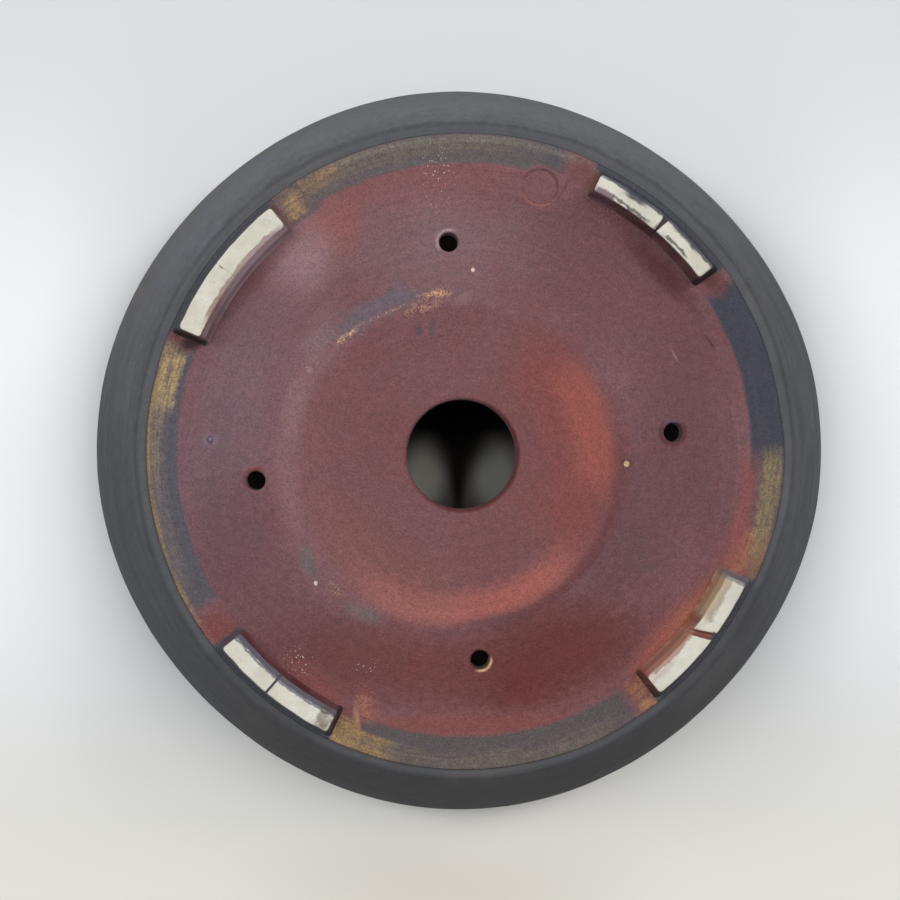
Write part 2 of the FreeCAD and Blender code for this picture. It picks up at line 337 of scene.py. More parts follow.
def lip_section():
    low, high = lip_low.z, lip_high.z
    under = high - LIP_THICKNESS
    inner = RIM_RADIUS - LIP_WIDTH
    wall_in = RIM_RADIUS - WALL_THICKNESS
    outer_edge, inner_edge = LIP_OUTER_EDGE, LIP_INNER_EDGE
    slope = Vector((wall_in - inner, low - under)).normalized()
    seat = (inner + slope.x * inner_edge, under + slope.y * inner_edge)
    section = line((wall_in, low), (RIM_RADIUS, low), 4)
    section += line((RIM_RADIUS, low), (RIM_RADIUS, high - outer_edge), 4)
    section += arc((RIM_RADIUS - outer_edge, high - outer_edge), outer_edge, 0, 90, 16)
    section += line((RIM_RADIUS - outer_edge - 0.5, high), (inner + inner_edge, high), 5)
    section += arc((inner + inner_edge, high - inner_edge), inner_edge, 90, 180, 8)
    section += line((inner, high - inner_edge - 0.4), (inner, under + 1.6), 2)
    section += arc((inner + 1.6, under + 1.6), 1.6, 180, 250, 5)
    section += line((seat[0] + 0.8, seat[1] - 0.3), (wall_in, low), 4)
    return section


def make_wall():
    shell = Shell()
    turned(shell, wall_section(), wall_place)
    return shell.piece("dark_side_wall", "dark_slip", "side_wall")


def make_lip():
    shell = Shell()
    turned(shell, lip_section(), wall_place)
    return shell.piece("turned_in_lip", "dark_slip", "rim_lip")


# Floor slab, a round grid with the drain hole in its middle. A patch of its cells is left out
# for each wire hole, and rings lead from there to the hole.

PATCH = 5
SLAB_RINGS = 58
WIRE_HOLE_MOUTH = 1.2
WIRE_HOLE_FRAME = 4.4
BURR_HEIGHT = 0.17


def slab_radii():
    """Radii of the grid's rings, from the drain hole's edge to the slab's edge."""
    inner = [DRAIN_RADIUS + DRAIN_EDGE + 0.4 * i for i in range(6)]
    start, end = inner[-1] + 0.8, SLAB_RADIUS - SLAB_EDGE
    return inner + [start + (end - start) * i / SLAB_RINGS for i in range(SLAB_RINGS + 1)]


def floor_level(x, y):
    """How far the slab's outer face lies off its plane: thrown lumps and turning marks."""
    radius = math.hypot(x, y)
    calm = 1 - ease(radius, SLAB_RADIUS - 5, SLAB_RADIUS - 1)
    marks = 0.05 * math.sin(radius * 1.9 + 2.2 * wander(x, y, 0, 30, 5)) * ease(radius, 18, 30)
    return (0.16 * wander(x, y, 0, 22, 1) + 0.05 * wander(x, y, 0, 6, 2) + marks) * calm


def slab_point(radius, turn, level):
    """A point of the slab's grid. Near the drain hole the rings are centred on the hole."""
    drain = polar(*DRAIN_PLACE)
    share = 1 - ease(radius, DRAIN_RADIUS + DRAIN_EDGE, 40)
    edge = seam_wander(turn) * ease(radius, 70, SLAB_RADIUS - SLAB_EDGE)
    x, y = polar(radius + edge, turn)
    x, y = x + drain[0] * share, y + drain[1] * share
    return x, y, level + (floor_level(x, y) if level < slab_high.z else 0)


def round_edge(radius, level, size, outward, down, count=5):
    """Radii and levels of a rounded edge, leaving a face at level and turning into a side."""
    rings = []
    for i in range(1, count + 1):
        lean = math.pi / 2 * i / count
        rings.append((
            radius + outward * size * math.sin(lean),
            level + down * size * (1 - math.cos(lean)),
        ))
    return rings


def make_slab():
    shell = Shell()
    radii = slab_radii()
    holes = []
    skipped = set()
    for reach, turn in WIRE_HOLES.values():
        ring = min(range(len(radii)), key=lambda i: abs(radii[i] - reach))
        step = round(turn) % SEGMENTS
        holes.append((ring, step, polar(reach, turn)))
        for i in range(-PATCH, PATCH):
            skipped.update((ring + i, (step + j) % SEGMENTS) for j in range(-PATCH, PATCH))
    grids = {}
    for level in (slab_low.z, slab_high.z):
        grid = [
            shell.ring([slab_point(radius, j, level) for j in range(SEGMENTS)]) for radius in radii
        ]
        grids[level] = grid
        for i in range(len(radii) - 1):
            for j in range(SEGMENTS):
                if (i, j) not in skipped:
                    k = (j + 1) % SEGMENTS
                    shell.faces.append((grid[i][j], grid[i][k], grid[i + 1][k], grid[i + 1][j]))
    under, over = grids[slab_low.z], grids[slab_high.z]

    def side(first, last, profile):
        rings = [
            [slab_point(radius, j, height) for j in range(SEGMENTS)] for radius, height in profile
        ]
        shell.bridge(shell.follow(first, rings), last)

    low, high = slab_low.z, slab_high.z
    rounded = round_edge(DRAIN_RADIUS + DRAIN_EDGE, low, DRAIN_EDGE, -1, 1, 7)
    tube = [
        (DRAIN_RADIUS, low + DRAIN_EDGE + (high - low - 2 * DRAIN_EDGE) * i / 8) for i in range(1, 8)
    ]
    top_edge = [(r, high - (z - low)) for r, z in reversed(rounded)]
    side(under[0], over[0], rounded + tube + top_edge)
    rounded = round_edge(SLAB_RADIUS - SLAB_EDGE, low, SLAB_EDGE, 1, 1, 6)
    upright = [(SLAB_RADIUS, low + SLAB_EDGE + (high - low - SLAB_EDGE) * i / 5) for i in range(1, 6)]
    side(under[-1], over[-1], rounded + upright)

    for number, (ring, step, middle) in enumerate(holes):
        make_wire_hole(shell, under, over, ring, step, middle, number)
    return shell.piece("floor_slab_fired", "red_clay", "floor_slab")


def make_wire_hole(shell, under, over, ring, step, middle, number):
    """Rings that lead from a square of the grid to a hole, through it and out on the far side."""
    steps = [(-PATCH + i, -PATCH) for i in range(2 * PATCH)]
    steps += [(PATCH, -PATCH + i) for i in range(2 * PATCH)]
    steps += [(PATCH - i, PATCH) for i in range(2 * PATCH)]
    steps += [(-PATCH, PATCH - i) for i in range(2 * PATCH)]
    frames = [[grid[ring + i][(step + j) % SEGMENTS] for i, j in steps] for grid in (under, over)]
    corner = [Vector(shell.points[index]) for index in frames[0]]
    start = corner[0].xy - Vector(middle)
    first_angle = math.atan2(start.y, start.x)
    second = corner[1].xy - Vector(middle)
    cross = start.x * second.y - start.y * second.x
    sense = 1 if cross > 0 else -1
    count = len(steps)

    def round_point(radius, i):
        angle = first_angle + sense * 2 * math.pi * i / count
        ragged = 0.06 * wander(5 * math.cos(angle), 5 * math.sin(angle), number, 2.5, 7)
        reach = radius * (1 + ragged * ease(radius, 1.5, 3.4) * 0.5)
        return middle[0] + reach * math.cos(angle), middle[1] + reach * math.sin(angle)

    def loop(radius, height, share=1.0):
        points = []
        for i in range(count):
            x, y = round_point(radius, i)
            x = corner[i].x + (x - corner[i].x) * share
            y = corner[i].y + (y - corner[i].y) * share
            points.append((x, y, height(x, y) if callable(height) else height))
        return points

    low, high = slab_low.z, slab_high.z

    def face(x, y):
        """The outer face, with a low burr round the hole."""
        radius = math.hypot(x - middle[0], y - middle[1])
        burr = ease(radius, 2.6, 3.1) * (1 - ease(radius, 3.3, 4.1))
        uneven = 0.55 + 0.45 * wander(x * 3, y * 3, number, 6, 11)
        return low + floor_level(x, y) - BURR_HEIGHT * burr * uneven

    edge = WIRE_HOLE_RADIUS + WIRE_HOLE_EDGE
    rings = [(WIRE_HOLE_FRAME, face, share) for share in (0.3, 0.55, 0.75)]
    rings += [(radius, face) for radius in (4.3, 3.9, 3.6, 3.35, edge)]
    rings += [
        (radius, lambda x, y, drop=height: low + floor_level(x, y) + drop)
        for radius, height in round_edge(edge, 0, WIRE_HOLE_EDGE, -1, 1)
    ]
    tube = high - low - WIRE_HOLE_MOUTH
    rings += [(WIRE_HOLE_RADIUS, low + WIRE_HOLE_MOUTH + tube * i / 6) for i in range(7)]
    rings += [(WIRE_HOLE_RADIUS + 0.4, high), (3.8, high)]
    rings += [(WIRE_HOLE_FRAME, high, share) for share in (0.7, 0.35)]
    shell.bridge(shell.follow(frames[0], [loop(*ring) for ring in rings]), frames[1])


# Feet, each with a worn contact face and a drain notch

FOOT_HABITS = {
    # the notch's place, lean, widths at its outer and inner side, and depth; the seed of the
    # foot's unevenness; and its name
    "foot_back_right": {
        "notch_turn": 42.35, "notch_lean": 0.0, "notch_outer": 0.5, "notch_inner": 0.3,
        "notch_depth": 0.12, "seed": 1, "name": "foot_with_pale_face",
    },
    "foot_back_left": {
        "notch_turn": 135.85, "notch_lean": 0.1, "notch_outer": 2.4, "notch_inner": 0.5,
        "notch_depth": 1.2, "seed": 2, "name": "foot_beside_pad",
    },
    "foot_front_left": {
        "notch_turn": 223.1, "notch_lean": -2.6, "notch_outer": 2.7, "notch_inner": 2.1,
        "notch_depth": 1.6, "seed": 3, "name": "foot_with_wide_notch",
    },
    "foot_front_right": {
        "notch_turn": 315.3, "notch_lean": 0.15, "notch_outer": 0.7, "notch_inner": 0.9,
        "notch_depth": 1.0, "seed": 4, "name": "foot_with_narrow_notch",
    },
}
FOOT_CORNER = 0.9
FOOT_EDGE = 0.35
FOOT_TOE = 0.55
FOOT_BEVEL_HEIGHT = 2.5
FOOT_CELLS_ACROSS = 16
FOOT_ROOT_DROPS = (-0.7, -0.02, 0.15, 0.35, 0.6, 1)
FOOT_LEVELS = (7.2, 6.2, 5.2, 4.2, 3.3, 2.6, 2.1, 1.6, 1.1, 0.7, 0.35, 0.22, 0.12, 0.05, 0.012, 0)
LEVEL_SLACK = 0.01


def foot_sizes(node):
    """Radii and end angles of a foot's root and of its contact face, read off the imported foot."""
    spots = []
    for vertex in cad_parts[node].data.vertices:
        x, y, z = vertex.co / MM
        spots.append((math.hypot(x, y), math.degrees(math.atan2(y, x)) % 360, z))
    sizes = {}
    for name, chosen in (
        ("ground", [s for s in spots if s[2] < LEVEL_SLACK]),
        ("root", [s for s in spots if s[2] > slab_low.z - LEVEL_SLACK]),
    ):
        sizes[name] = {
            "inner": min(s[0] for s in chosen), "outer": max(s[0] for s in chosen),
            "start": min(s[1] for s in chosen), "end": max(s[1] for s in chosen),
        }
    at_bevel = [s for s in spots if FOOT_BEVEL_HEIGHT - 0.5 < s[2] < FOOT_BEVEL_HEIGHT + 0.1]
    sizes["bevel_inner"] = min(s[0] for s in at_bevel)
    return sizes


def spaced(notch, half, step, fine, spread):
    """Places from -half to half, closer together within spread of the notch."""
    places = [-half]
    while places[-1] < half - step * 0.6:
        near = abs(places[-1] - notch) < spread
        places.append(min(places[-1] + (fine if near else step), half))
    places[-1] = half
    return places


def rounded_corner(along, across, half, inner, outer, corner):
    """Moves a point of a square grid so that the grid's corners turn round."""
    over_along = abs(along) - (half - corner)
    over_outer = across - (outer - corner)
    over_inner = (inner + corner) - across
    over_across = max(over_outer, over_inner)
    if over_along <= 0 or over_across <= 0:
        return along, across
    size = max(over_along, over_across) / math.hypot(over_along, over_across)
    along = math.copysign(half - corner + over_along * size, along)
    if over_outer > 0:
        return along, outer - corner + over_outer * size
    return along, inner + corner - over_inner * size


def make_foot(node, habits):
    shell = Shell()
    sizes = foot_sizes(node)
    ground, root = sizes["ground"], sizes["root"]
    height = slab_low.z
    middle = (ground["start"] + ground["end"]) / 2
    mean = (root["inner"] + root["outer"]) / 2
    per_mm = math.degrees(1 / mean)
    half = (ground["end"] - ground["start"]) / 2 / per_mm
    spread = (root["end"] - root["start"]) / 2 / per_mm - half
    notch = (habits["notch_turn"] - middle) / per_mm
    along_shares = [place / half for place in spaced(notch, half, 0.62, 0.17, 2.6)]
    across_shares = [i / FOOT_CELLS_ACROSS for i in range(FOOT_CELLS_ACROSS + 1)]
    seed = habits["seed"]

    def notch_depth(along, radius):
        share = (radius - ground["inner"]) / (ground["outer"] - ground["inner"])
        width = habits["notch_inner"] + (habits["notch_outer"] - habits["notch_inner"]) * share
        line_at = notch + habits["notch_lean"] * (share - 0.5)
        deep = 1 - abs(along - line_at) / (max(width, 0.2) / 2)
        return habits["notch_depth"] * min(max(deep * 1.25, 0), 1) if deep > 0 else 0

    def place(share_along, share_across, level, inner, outer, half_here):
        along, radius = rounded_corner(
            share_along * half_here, inner + (outer - inner) * share_across,
            half_here, inner, outer, FOOT_CORNER,
        )
        turn = middle + along * per_mm
        x, y = polar(radius, turn)
        cut = notch_depth(along, radius)
        low = min(level, height)
        z = level + cut * (1 - low / height)
        calm = ease(height - low, 0.2, 2.0)
        lump = 0.16 * wander(x, y, z, 5, seed) + 0.07 * wander(x, y, z, 1.6, seed + 9)
        x, y = polar(radius + lump * calm, turn + 0.5 * lump * per_mm * calm)
        return x, y, z

    border = [(share, 0) for share in along_shares[:-1]]
    border += [(along_shares[-1], share) for share in across_shares[:-1]]
    border += [(share, 1) for share in reversed(along_shares[1:])]
    border += [(along_shares[0], share) for share in reversed(across_shares[1:])]

    def outline(level):
        """Inner and outer radius and half length at a level above the ground."""
        share = min(level / height, 1)
        inner = ground["inner"] + (root["inner"] - ground["inner"]) * share
        outer = ground["outer"] + (root["outer"] - ground["outer"]) * share
        reach = half + spread * share
        bevel = sizes["bevel_inner"] - ground["inner"]
        if level < FOOT_BEVEL_HEIGHT and ground["inner"] > sizes["bevel_inner"]:
            inner = ground["inner"] + bevel * min(level / FOOT_BEVEL_HEIGHT, 1)
        toe = FOOT_TOE * (1 - ease(height - level, -0.4, 0.9))
        grow = FOOT_EDGE - math.sqrt(max(FOOT_EDGE**2 - max(FOOT_EDGE - level, 0) ** 2, 0))
        return inner - toe * 0.8 + grow, outer + toe * 0.4 - grow, reach + toe - grow

    levels = [height - drop for drop in FOOT_ROOT_DROPS] + list(FOOT_LEVELS)
    rings = [[place(a, b, level, *outline(level)) for a, b in border] for level in levels]
    root_ring = shell.ring(rings[0])
    ground_ring = shell.follow(root_ring, rings[1:])
    for ring, level in ((ground_ring, 0), (root_ring, levels[0])):
        shape = outline(level)
        cap(shell, ring, border, along_shares, across_shares, lambda a, b: place(a, b, level, *shape))
    return shell.piece(habits["name"], "foot_clay", node)


def cap(shell, ring, border, along_shares, across_shares, place):
    """Closes a foot's end with a grid whose border is the last ring."""
    known = dict(zip(border, ring))
    grid = []
    for a in along_shares:
        row = []
        for b in across_shares:
            key = (a, b if b not in (0.0, 1.0) else int(b))
            if key not in known:
                known[key] = shell.ring([place(a, b)])[0]
            row.append(known[key])
        grid.append(row)
    for i in range(len(along_shares) - 1):
        for j in range(len(across_shares) - 1):
            shell.faces.append((grid[i][j], grid[i + 1][j], grid[i + 1][j + 1], grid[i][j + 1]))


# Thin pad with a pressed ring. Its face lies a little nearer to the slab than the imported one, and
# its root reaches into the slab. Each step of its edge says how square it is, its share of the
# pad's width and how far it sinks.

PAD_LIFT = 0.1
PAD_ROOT = 0.3
PAD_EDGE_STEPS = (
    (0.4, 0.9, 0), (0.8, 0.88, 0), (1, 0.86, 0.01), (1, 0.90, 0.06), (1, 0.94, 0.16), (1, 0.97, 0.3),
    (1, 0.99, 0.45), (1, 1, 0.8),
)
PAD_POINTS = 96
PAD_SQUARENESS = 7
PAD_FACE_RADII = (0.9, 1.8, 2.7, 3.5, 4.1)
PAD_RING_SURROUND = 0.3

# One side of the ring's groove, from the flat face down: how far out of the ring, and how deep

GROOVE_SIDE = ((0.12, 0.02), (0.02, 0.1), (-0.08, RING_DEPTH * 0.85))


def make_pad():
    shell = Shell()
    half = PAD_WIDTH / 2
    middle = ((pad_low.x + pad_high.x) / 2, (pad_low.y + pad_high.y) / 2)
    turn = math.radians(PAD_TURN)
    outer, inner = RING_RADIUS, RING_RADIUS - RING_WIDTH
    surround = outer + PAD_RING_SURROUND
    rings = [(radius, 0) for radius in PAD_FACE_RADII]
    rings += [(inner - off, press) for off, press in GROOVE_SIDE]
    rings.append(((inner + outer) / 2, RING_DEPTH))
    rings += [(outer + off, press) for off, press in reversed(GROOVE_SIDE)]
    rings.append((surround, 0))

    def place(radius, press, i, square=0.0, size=1.0, sink=0.0):
        angle = 2 * math.pi * i / PAD_POINTS
        c, s = math.cos(angle), math.sin(angle)
        norm = (abs(c) ** PAD_SQUARENESS + abs(s) ** PAD_SQUARENESS) ** (1 / PAD_SQUARENESS)
        box_reach = half * size / norm
        reach = radius + (box_reach - radius) * square
        x, y = reach * c, reach * s
        uneven = 1 + 0.03 * wander(4 * c, 4 * s, 1, 2)
        x, y = x * uneven, y * uneven
        dish = 0.12 * wander(x, y, 0, 5, 3)
        worn = 0.3 + 0.7 * ease(wander(3 * c, 3 * s, 4, 2), -0.5, 0.2)
        off_x = x * math.cos(turn) - y * math.sin(turn)
        off_y = x * math.sin(turn) + y * math.cos(turn)
        outward = (off_x * middle[0] + off_y * middle[1]) / math.hypot(*middle)
        lean = 0.2 * (1 - outward / half)
        height = pad_low.z + PAD_LIFT + dish + press * worn + sink + lean
        return middle[0] + off_x, middle[1] + off_y, height

    first = shell.ring([place(*rings[0], i) for i in range(PAD_POINTS)])
    shell.close(first, (*middle, pad_low.z + PAD_LIFT))
    face = [[place(*ring, i) for i in range(PAD_POINTS)] for ring in rings[1:]]
    edge = [[place(surround, 0, i, *step) for i in range(PAD_POINTS)] for step in PAD_EDGE_STEPS]
    first = shell.follow(first, face + edge)
    root = pad_high.z + PAD_ROOT
    for share in (0.7, 0.4):
        spots = [shell.points[index] for index in first]
        first = shell.follow(first, [[
            (middle[0] + (x - middle[0]) * share, middle[1] + (y - middle[1]) * share, root)
            for x, y, _ in spots
        ]])
    shell.close(first, (*middle, root))
    return shell.piece("pad_with_pressed_ring", "red_clay", "seal_pad")


pieces = {"wall": make_wall(), "lip": make_lip(), "slab": make_slab(), "pad": make_pad()}
for node, habits in FOOT_HABITS.items():
    pieces[node] = make_foot(node, habits)


# Short calls that place and wire nodes

class Nodes:
    """The nodes of one finish, or of one group that finishes share."""

    def __init__(self, tree):
        self.tree = tree

    def add(self, kind, settings=None, inputs=None):
        node = self.tree.nodes.new(kind)
        for key, value in (settings or {}).items():
            setattr(node, key, value)
        for key, value in (inputs or {}).items():
            self.feed(node.inputs[key], value)
        return node

    def feed(self, socket, value):
        if isinstance(value, bpy.types.NodeSocket):
            self.tree.links.new(value, socket)
        else:
            socket.default_value = value

    def reckon(self, operation, *values):
        return self.add("ShaderNodeMath", {"operation": operation}, dict(enumerate(values))).outputs[0]

    def plus(self, first, second):
        return self.reckon("ADD", first, second)

    def minus(self, first, second):
        return self.reckon("SUBTRACT", first, second)

    def times(self, first, second):
        return self.reckon("MULTIPLY", first, second)

    def plus_share(self, value, share, rest):
        """A share of one value on top of another."""
        return self.reckon("MULTIPLY_ADD", value, share, rest)

    def length(self, flat):
        return self.reckon("SQRT", self.vector("DOT_PRODUCT", flat, flat))

    def give(self, given, **results):
        """Hands a group's results to what it gives out."""
        for name, value in results.items():
            self.feed(given[name], value)

    def vector(self, operation, first, second):
        node = self.add("ShaderNodeVectorMath", {"operation": operation}, {0: first, 1: second})
        return node.outputs["Value" if operation == "DOT_PRODUCT" else "Vector"]

    def together(self, x, y, z=0.0):
        return self.add("ShaderNodeCombineXYZ", None, {"X": x, "Y": y, "Z": z}).outputs[0]

    def ramp(self, value, low, high, at_low=0.0, at_high=1.0):
        """A smooth change from one level to another as the value goes from low to high."""
        inputs = {"Value": value, "From Min": low, "From Max": high, "To Min": at_low, "To Max": at_high}
        node = self.add("ShaderNodeMapRange", {"interpolation_type": "SMOOTHSTEP"}, inputs)
        return node.outputs["Result"]

    def noise(self, where, grain, detail=3.0, rough=0.55):
        """Lumps about one grain wide, from -1 to 1."""
        inputs = {"Vector": where, "Scale": 1 / grain, "Detail": detail, "Roughness": rough}
        value = self.add("ShaderNodeTexNoise", None, inputs).outputs["Fac"]
        return self.plus_share(value, 3.2, -1.6)

    def paint(self, share, under, over):
        """Lays one colour over another, by a share from 0 to 1."""
        settings = {"data_type": "RGBA", "clamp_factor": True}
        node = self.add("ShaderNodeMix", settings, {0: share, 6: under, 7: over})
        return node.outputs[2]

    def shade(self, colour, *steps):
        """Makes a colour lighter or darker by values from -1 to 1, each with its own depth."""
        for value, depth in steps:
            factor = self.plus_share(value, depth, 1.0)
            colour = self.vector("MULTIPLY", colour, self.together(factor, factor, factor))
        return colour

    def pile(self, rise, *steps):
        """Adds shares of more values to a height, one after another."""
        for value, share in steps:
            rise = self.plus_share(value, share, rise)
        return rise

    def use(self, group, **inputs):
        node = self.add("ShaderNodeGroup", {"node_tree": group})
        for key, value in inputs.items():
            self.feed(node.inputs[key], value)
        return node.outputs


def new_group(name, takes, gives):
    """An empty group: its nodes, what it takes and where its results go."""
    tree = bpy.data.node_groups.new(name, "ShaderNodeTree")
    kinds = {"value": "NodeSocketFloat", "vector": "NodeSocketVector", "colour": "NodeSocketColor"}
    for direction, sockets in (("INPUT", takes), ("OUTPUT", gives)):
        for socket, kind in sockets.items():
            tree.interface.new_socket(name=socket, in_out=direction, socket_type=kinds[kind])
    nodes = Nodes(tree)
    taken = nodes.add("NodeGroupInput").outputs
    given = nodes.add("NodeGroupOutput").inputs
    return tree, nodes, taken, given


def values(*names):
    return {name: "value" for name in names}


def group_place_on_pot():
    """Where a spot lies, in the photograph's directions, in millimetres and degrees."""
    tree, nodes, _, given = new_group(
        "place_on_pot", {}, {"Spot": "vector", **values("Across", "Up", "Height", "Radius", "Turn")}
    )
    place = nodes.add("ShaderNodeTexCoord").outputs["Object"]
    spot = nodes.vector("MULTIPLY", place, (1 / MM, 1 / MM, 1 / MM))
    across = nodes.vector("DOT_PRODUCT", spot, tuple(in_photo(1, 0)))
    up = nodes.vector("DOT_PRODUCT", spot, tuple(in_photo(0, 1)))
    height = nodes.vector("DOT_PRODUCT", spot, (0, 0, 1))
    turn = nodes.reckon("DEGREES", nodes.reckon("ARCTAN2", up, across))
    flat = nodes.together(across, up)
    radius = nodes.length(flat)
    nodes.give(given, Spot=spot, Across=across, Up=up, Height=height, Radius=radius, Turn=turn)
    return tree


def group_round_another_middle():
    """Radius and turn round another middle, given by its across and up."""
    tree, nodes, taken, given = new_group(
        "round_another_middle", values("Across", "Up", "Middle_across", "Middle_up"),
        values("Radius", "Turn"),
    )
    across = nodes.minus(taken["Across"], taken["Middle_across"])
    up = nodes.minus(taken["Up"], taken["Middle_up"])
    flat = nodes.together(across, up)
    turn = nodes.reckon("DEGREES", nodes.reckon("ARCTAN2", up, across))
    nodes.give(given, Radius=nodes.length(flat), Turn=turn)
    return tree


# The lumps' sizes: each one's grain in mm and its detail

LUMP_SIZES = {"Coarse": (26, 3), "Medium": (8, 3), "Small": (2.2, 3), "Grain": (0.42, 1)}


def group_lumps():
    """Hand-made unevenness in four sizes, each from about -1 to 1."""
    tree, nodes, taken, given = new_group("clay_lumps", {"Spot": "vector"}, values(*LUMP_SIZES))
    for name, (grain, detail) in LUMP_SIZES.items():
        nodes.feed(given[name], nodes.noise(taken["Spot"], grain, detail))
    return tree


def group_stain():
    """A soft or ragged oval stain."""
    tree, nodes, taken, given = new_group(
        "stain", values(
            "Across", "Up", "Middle_across", "Middle_up", "Long", "Wide", "Lean", "Soft", "Wander"
        ), values("Mask"),
    )
    across = nodes.minus(taken["Across"], taken["Middle_across"])
    up = nodes.minus(taken["Up"], taken["Middle_up"])
    lean = nodes.reckon("RADIANS", taken["Lean"])
    cosine, sine = nodes.reckon("COSINE", lean), nodes.reckon("SINE", lean)
    along = nodes.plus(nodes.times(across, cosine), nodes.times(up, sine))
    aside = nodes.minus(nodes.times(up, cosine), nodes.times(across, sine))
    flat = nodes.together(
        nodes.reckon("DIVIDE", along, taken["Long"]), nodes.reckon("DIVIDE", aside, taken["Wide"])
    )
    reach = nodes.length(flat)
    reach = nodes.plus(reach, taken["Wander"])
    inner = nodes.minus(1.0, taken["Soft"])
    outer = nodes.plus(1.0, taken["Soft"])
    nodes.feed(given["Mask"], nodes.ramp(reach, inner, outer, 1.0, 0.0))
    return tree


def group_arc_band():
    """A band between two radii, over an arc round the middle."""
    tree, nodes, taken, given = new_group(
        "arc_band", values(
            "Radius", "Turn", "Near", "Far", "Middle", "Half", "Soft", "End_soft", "Wander"
        ), values("Mask"),
    )
    reach = nodes.plus(taken["Radius"], taken["Wander"])
    soft = taken["Soft"]
    inside = nodes.ramp(
        reach, nodes.minus(taken["Near"], soft), nodes.plus(taken["Near"], soft)
    )
    outside = nodes.ramp(
        reach, nodes.minus(taken["Far"], soft), nodes.plus(taken["Far"], soft), 1.0, 0.0
    )
    turned_by = nodes.minus(taken["Turn"], taken["Middle"])
    apart = nodes.reckon("ABSOLUTE", nodes.reckon("WRAP", turned_by, 180.0, -180.0))
    apart = nodes.plus(apart, taken["Wander"])
    ends = nodes.ramp(
        apart, nodes.minus(taken["Half"], taken["End_soft"]),
        nodes.plus(taken["Half"], taken["End_soft"]), 1.0, 0.0,
    )
    both = nodes.times(inside, outside)
    nodes.feed(given["Mask"], nodes.times(both, ends))
    return tree


def group_turning_marks():
    """Fine lines that run round the pot, from -1 to 1."""
    tree, nodes, taken, given = new_group(
        "turning_marks", values("Radius", "Turn", "Line", "Length"), values("Marks")
    )
    around = nodes.reckon("RADIANS", taken["Turn"])
    length = nodes.reckon("DIVIDE", 60.0, taken["Length"])
    where = nodes.together(
        nodes.times(nodes.reckon("COSINE", around), length),
        nodes.times(nodes.reckon("SINE", around), length),
        nodes.reckon("DIVIDE", taken["Radius"], taken["Line"]),
    )
    nodes.feed(given["Marks"], nodes.noise(where, 1.0, 2.0, 0.6))
    return tree


def group_specks():
    """Scattered small specks; Rare from 0 to 1 leaves more of them out."""
    tree, nodes, taken, given = new_group(
        "specks", {"Spot": "vector", **values("Apart", "Size", "Rare")}, values("Mask")
    )
    inverse = nodes.reckon("DIVIDE", 1.0, taken["Apart"])
    cells = nodes.add("ShaderNodeTexVoronoi", None, {"Vector": taken["Spot"], "Scale": inverse})
    share = nodes.reckon("DIVIDE", taken["Size"], taken["Apart"])
    dot = nodes.ramp(cells.outputs["Distance"], nodes.times(share, 0.5), share, 1.0, 0.0)
    pick = nodes.add("ShaderNodeSeparateColor", None, {"Color": cells.outputs["Color"]}).outputs[0]
    kept = nodes.reckon("GREATER_THAN", pick, taken["Rare"])
    nodes.feed(given["Mask"], nodes.times(dot, kept))
    return tree


PLACE = group_place_on_pot()
AROUND = group_round_another_middle()
LUMPS = group_lumps()
STAIN = group_stain()
BAND = group_arc_band()
MARKS = group_turning_marks()
SPECKS = group_specks()


def new_finish(name, specular):
    material = bpy.data.materials.new(name)
    material.use_nodes = True
    nodes = Nodes(material.node_tree)
    shader = material.node_tree.nodes["Principled BSDF"]
    shader.inputs["Specular IOR Level"].default_value = specular
    return material, nodes, shader


BUMP_DEPTH = 0.00015


def surfaced(nodes, shader, colour, rough, rise, strength):
    """Hands a finish's colour, roughness and relief to its shader."""
    inputs = {"Height": rise, "Strength": strength, "Distance": BUMP_DEPTH}
    bump = nodes.add("ShaderNodeBump", None, inputs).outputs["Normal"]
    nodes.give(shader.inputs, **{"Base Color": colour, "Roughness": rough, "Normal": bump})


def where(nodes):
    """What most finishes start from: the spot's place on the pot and the clay's lumps there."""
    place = nodes.use(PLACE)
    return place, nodes.use(LUMPS, Spot=place["Spot"])


def marks_round(nodes, radius, turn, line, length):
    return nodes.use(MARKS, Radius=radius, Turn=turn, Line=line, Length=length)["Marks"]


def specks(nodes, place, apart, size, rare):
    return nodes.use(SPECKS, Spot=place["Spot"], Apart=apart, Size=size, Rare=rare)["Mask"]


def round_middle(nodes, place, middle):
    """Radius and turn round a middle given in the photograph's directions."""
    return nodes.use(
        AROUND, Across=place["Across"], Up=place["Up"], Middle_across=middle[0], Middle_up=middle[1]
    )


def ragged_edge(nodes, lumps, ragged):
    return nodes.times(nodes.plus(lumps["Medium"], lumps["Small"]), ragged)


def laid(nodes, colour, mask, breaks, strength, tone):
    """Lays a tone over a colour through a mask; breaks, 0 to 1, thins the mask out."""
    if breaks is not None:
        mask = nodes.times(mask, breaks)
    return nodes.paint(nodes.times(mask, strength), colour, tone)


def stained(nodes, place, lumps, colour, stains, spot=photo_mm, read=under_sheen, breaks=None):
    """Lays a list of stains over a colour, in their order."""
    for pixel, long, wide, lean, soft, ragged, strength, tone in stains:
        across, up = spot(pixel)
        mask = nodes.use(
            STAIN, Across=place["Across"], Up=place["Up"], Middle_across=across, Middle_up=up,
            Long=long, Wide=wide, Lean=lean, Soft=soft, Wander=ragged_edge(nodes, lumps, ragged),
        )["Mask"]
        colour = laid(nodes, colour, mask, breaks, strength, read(*tone))
    return colour


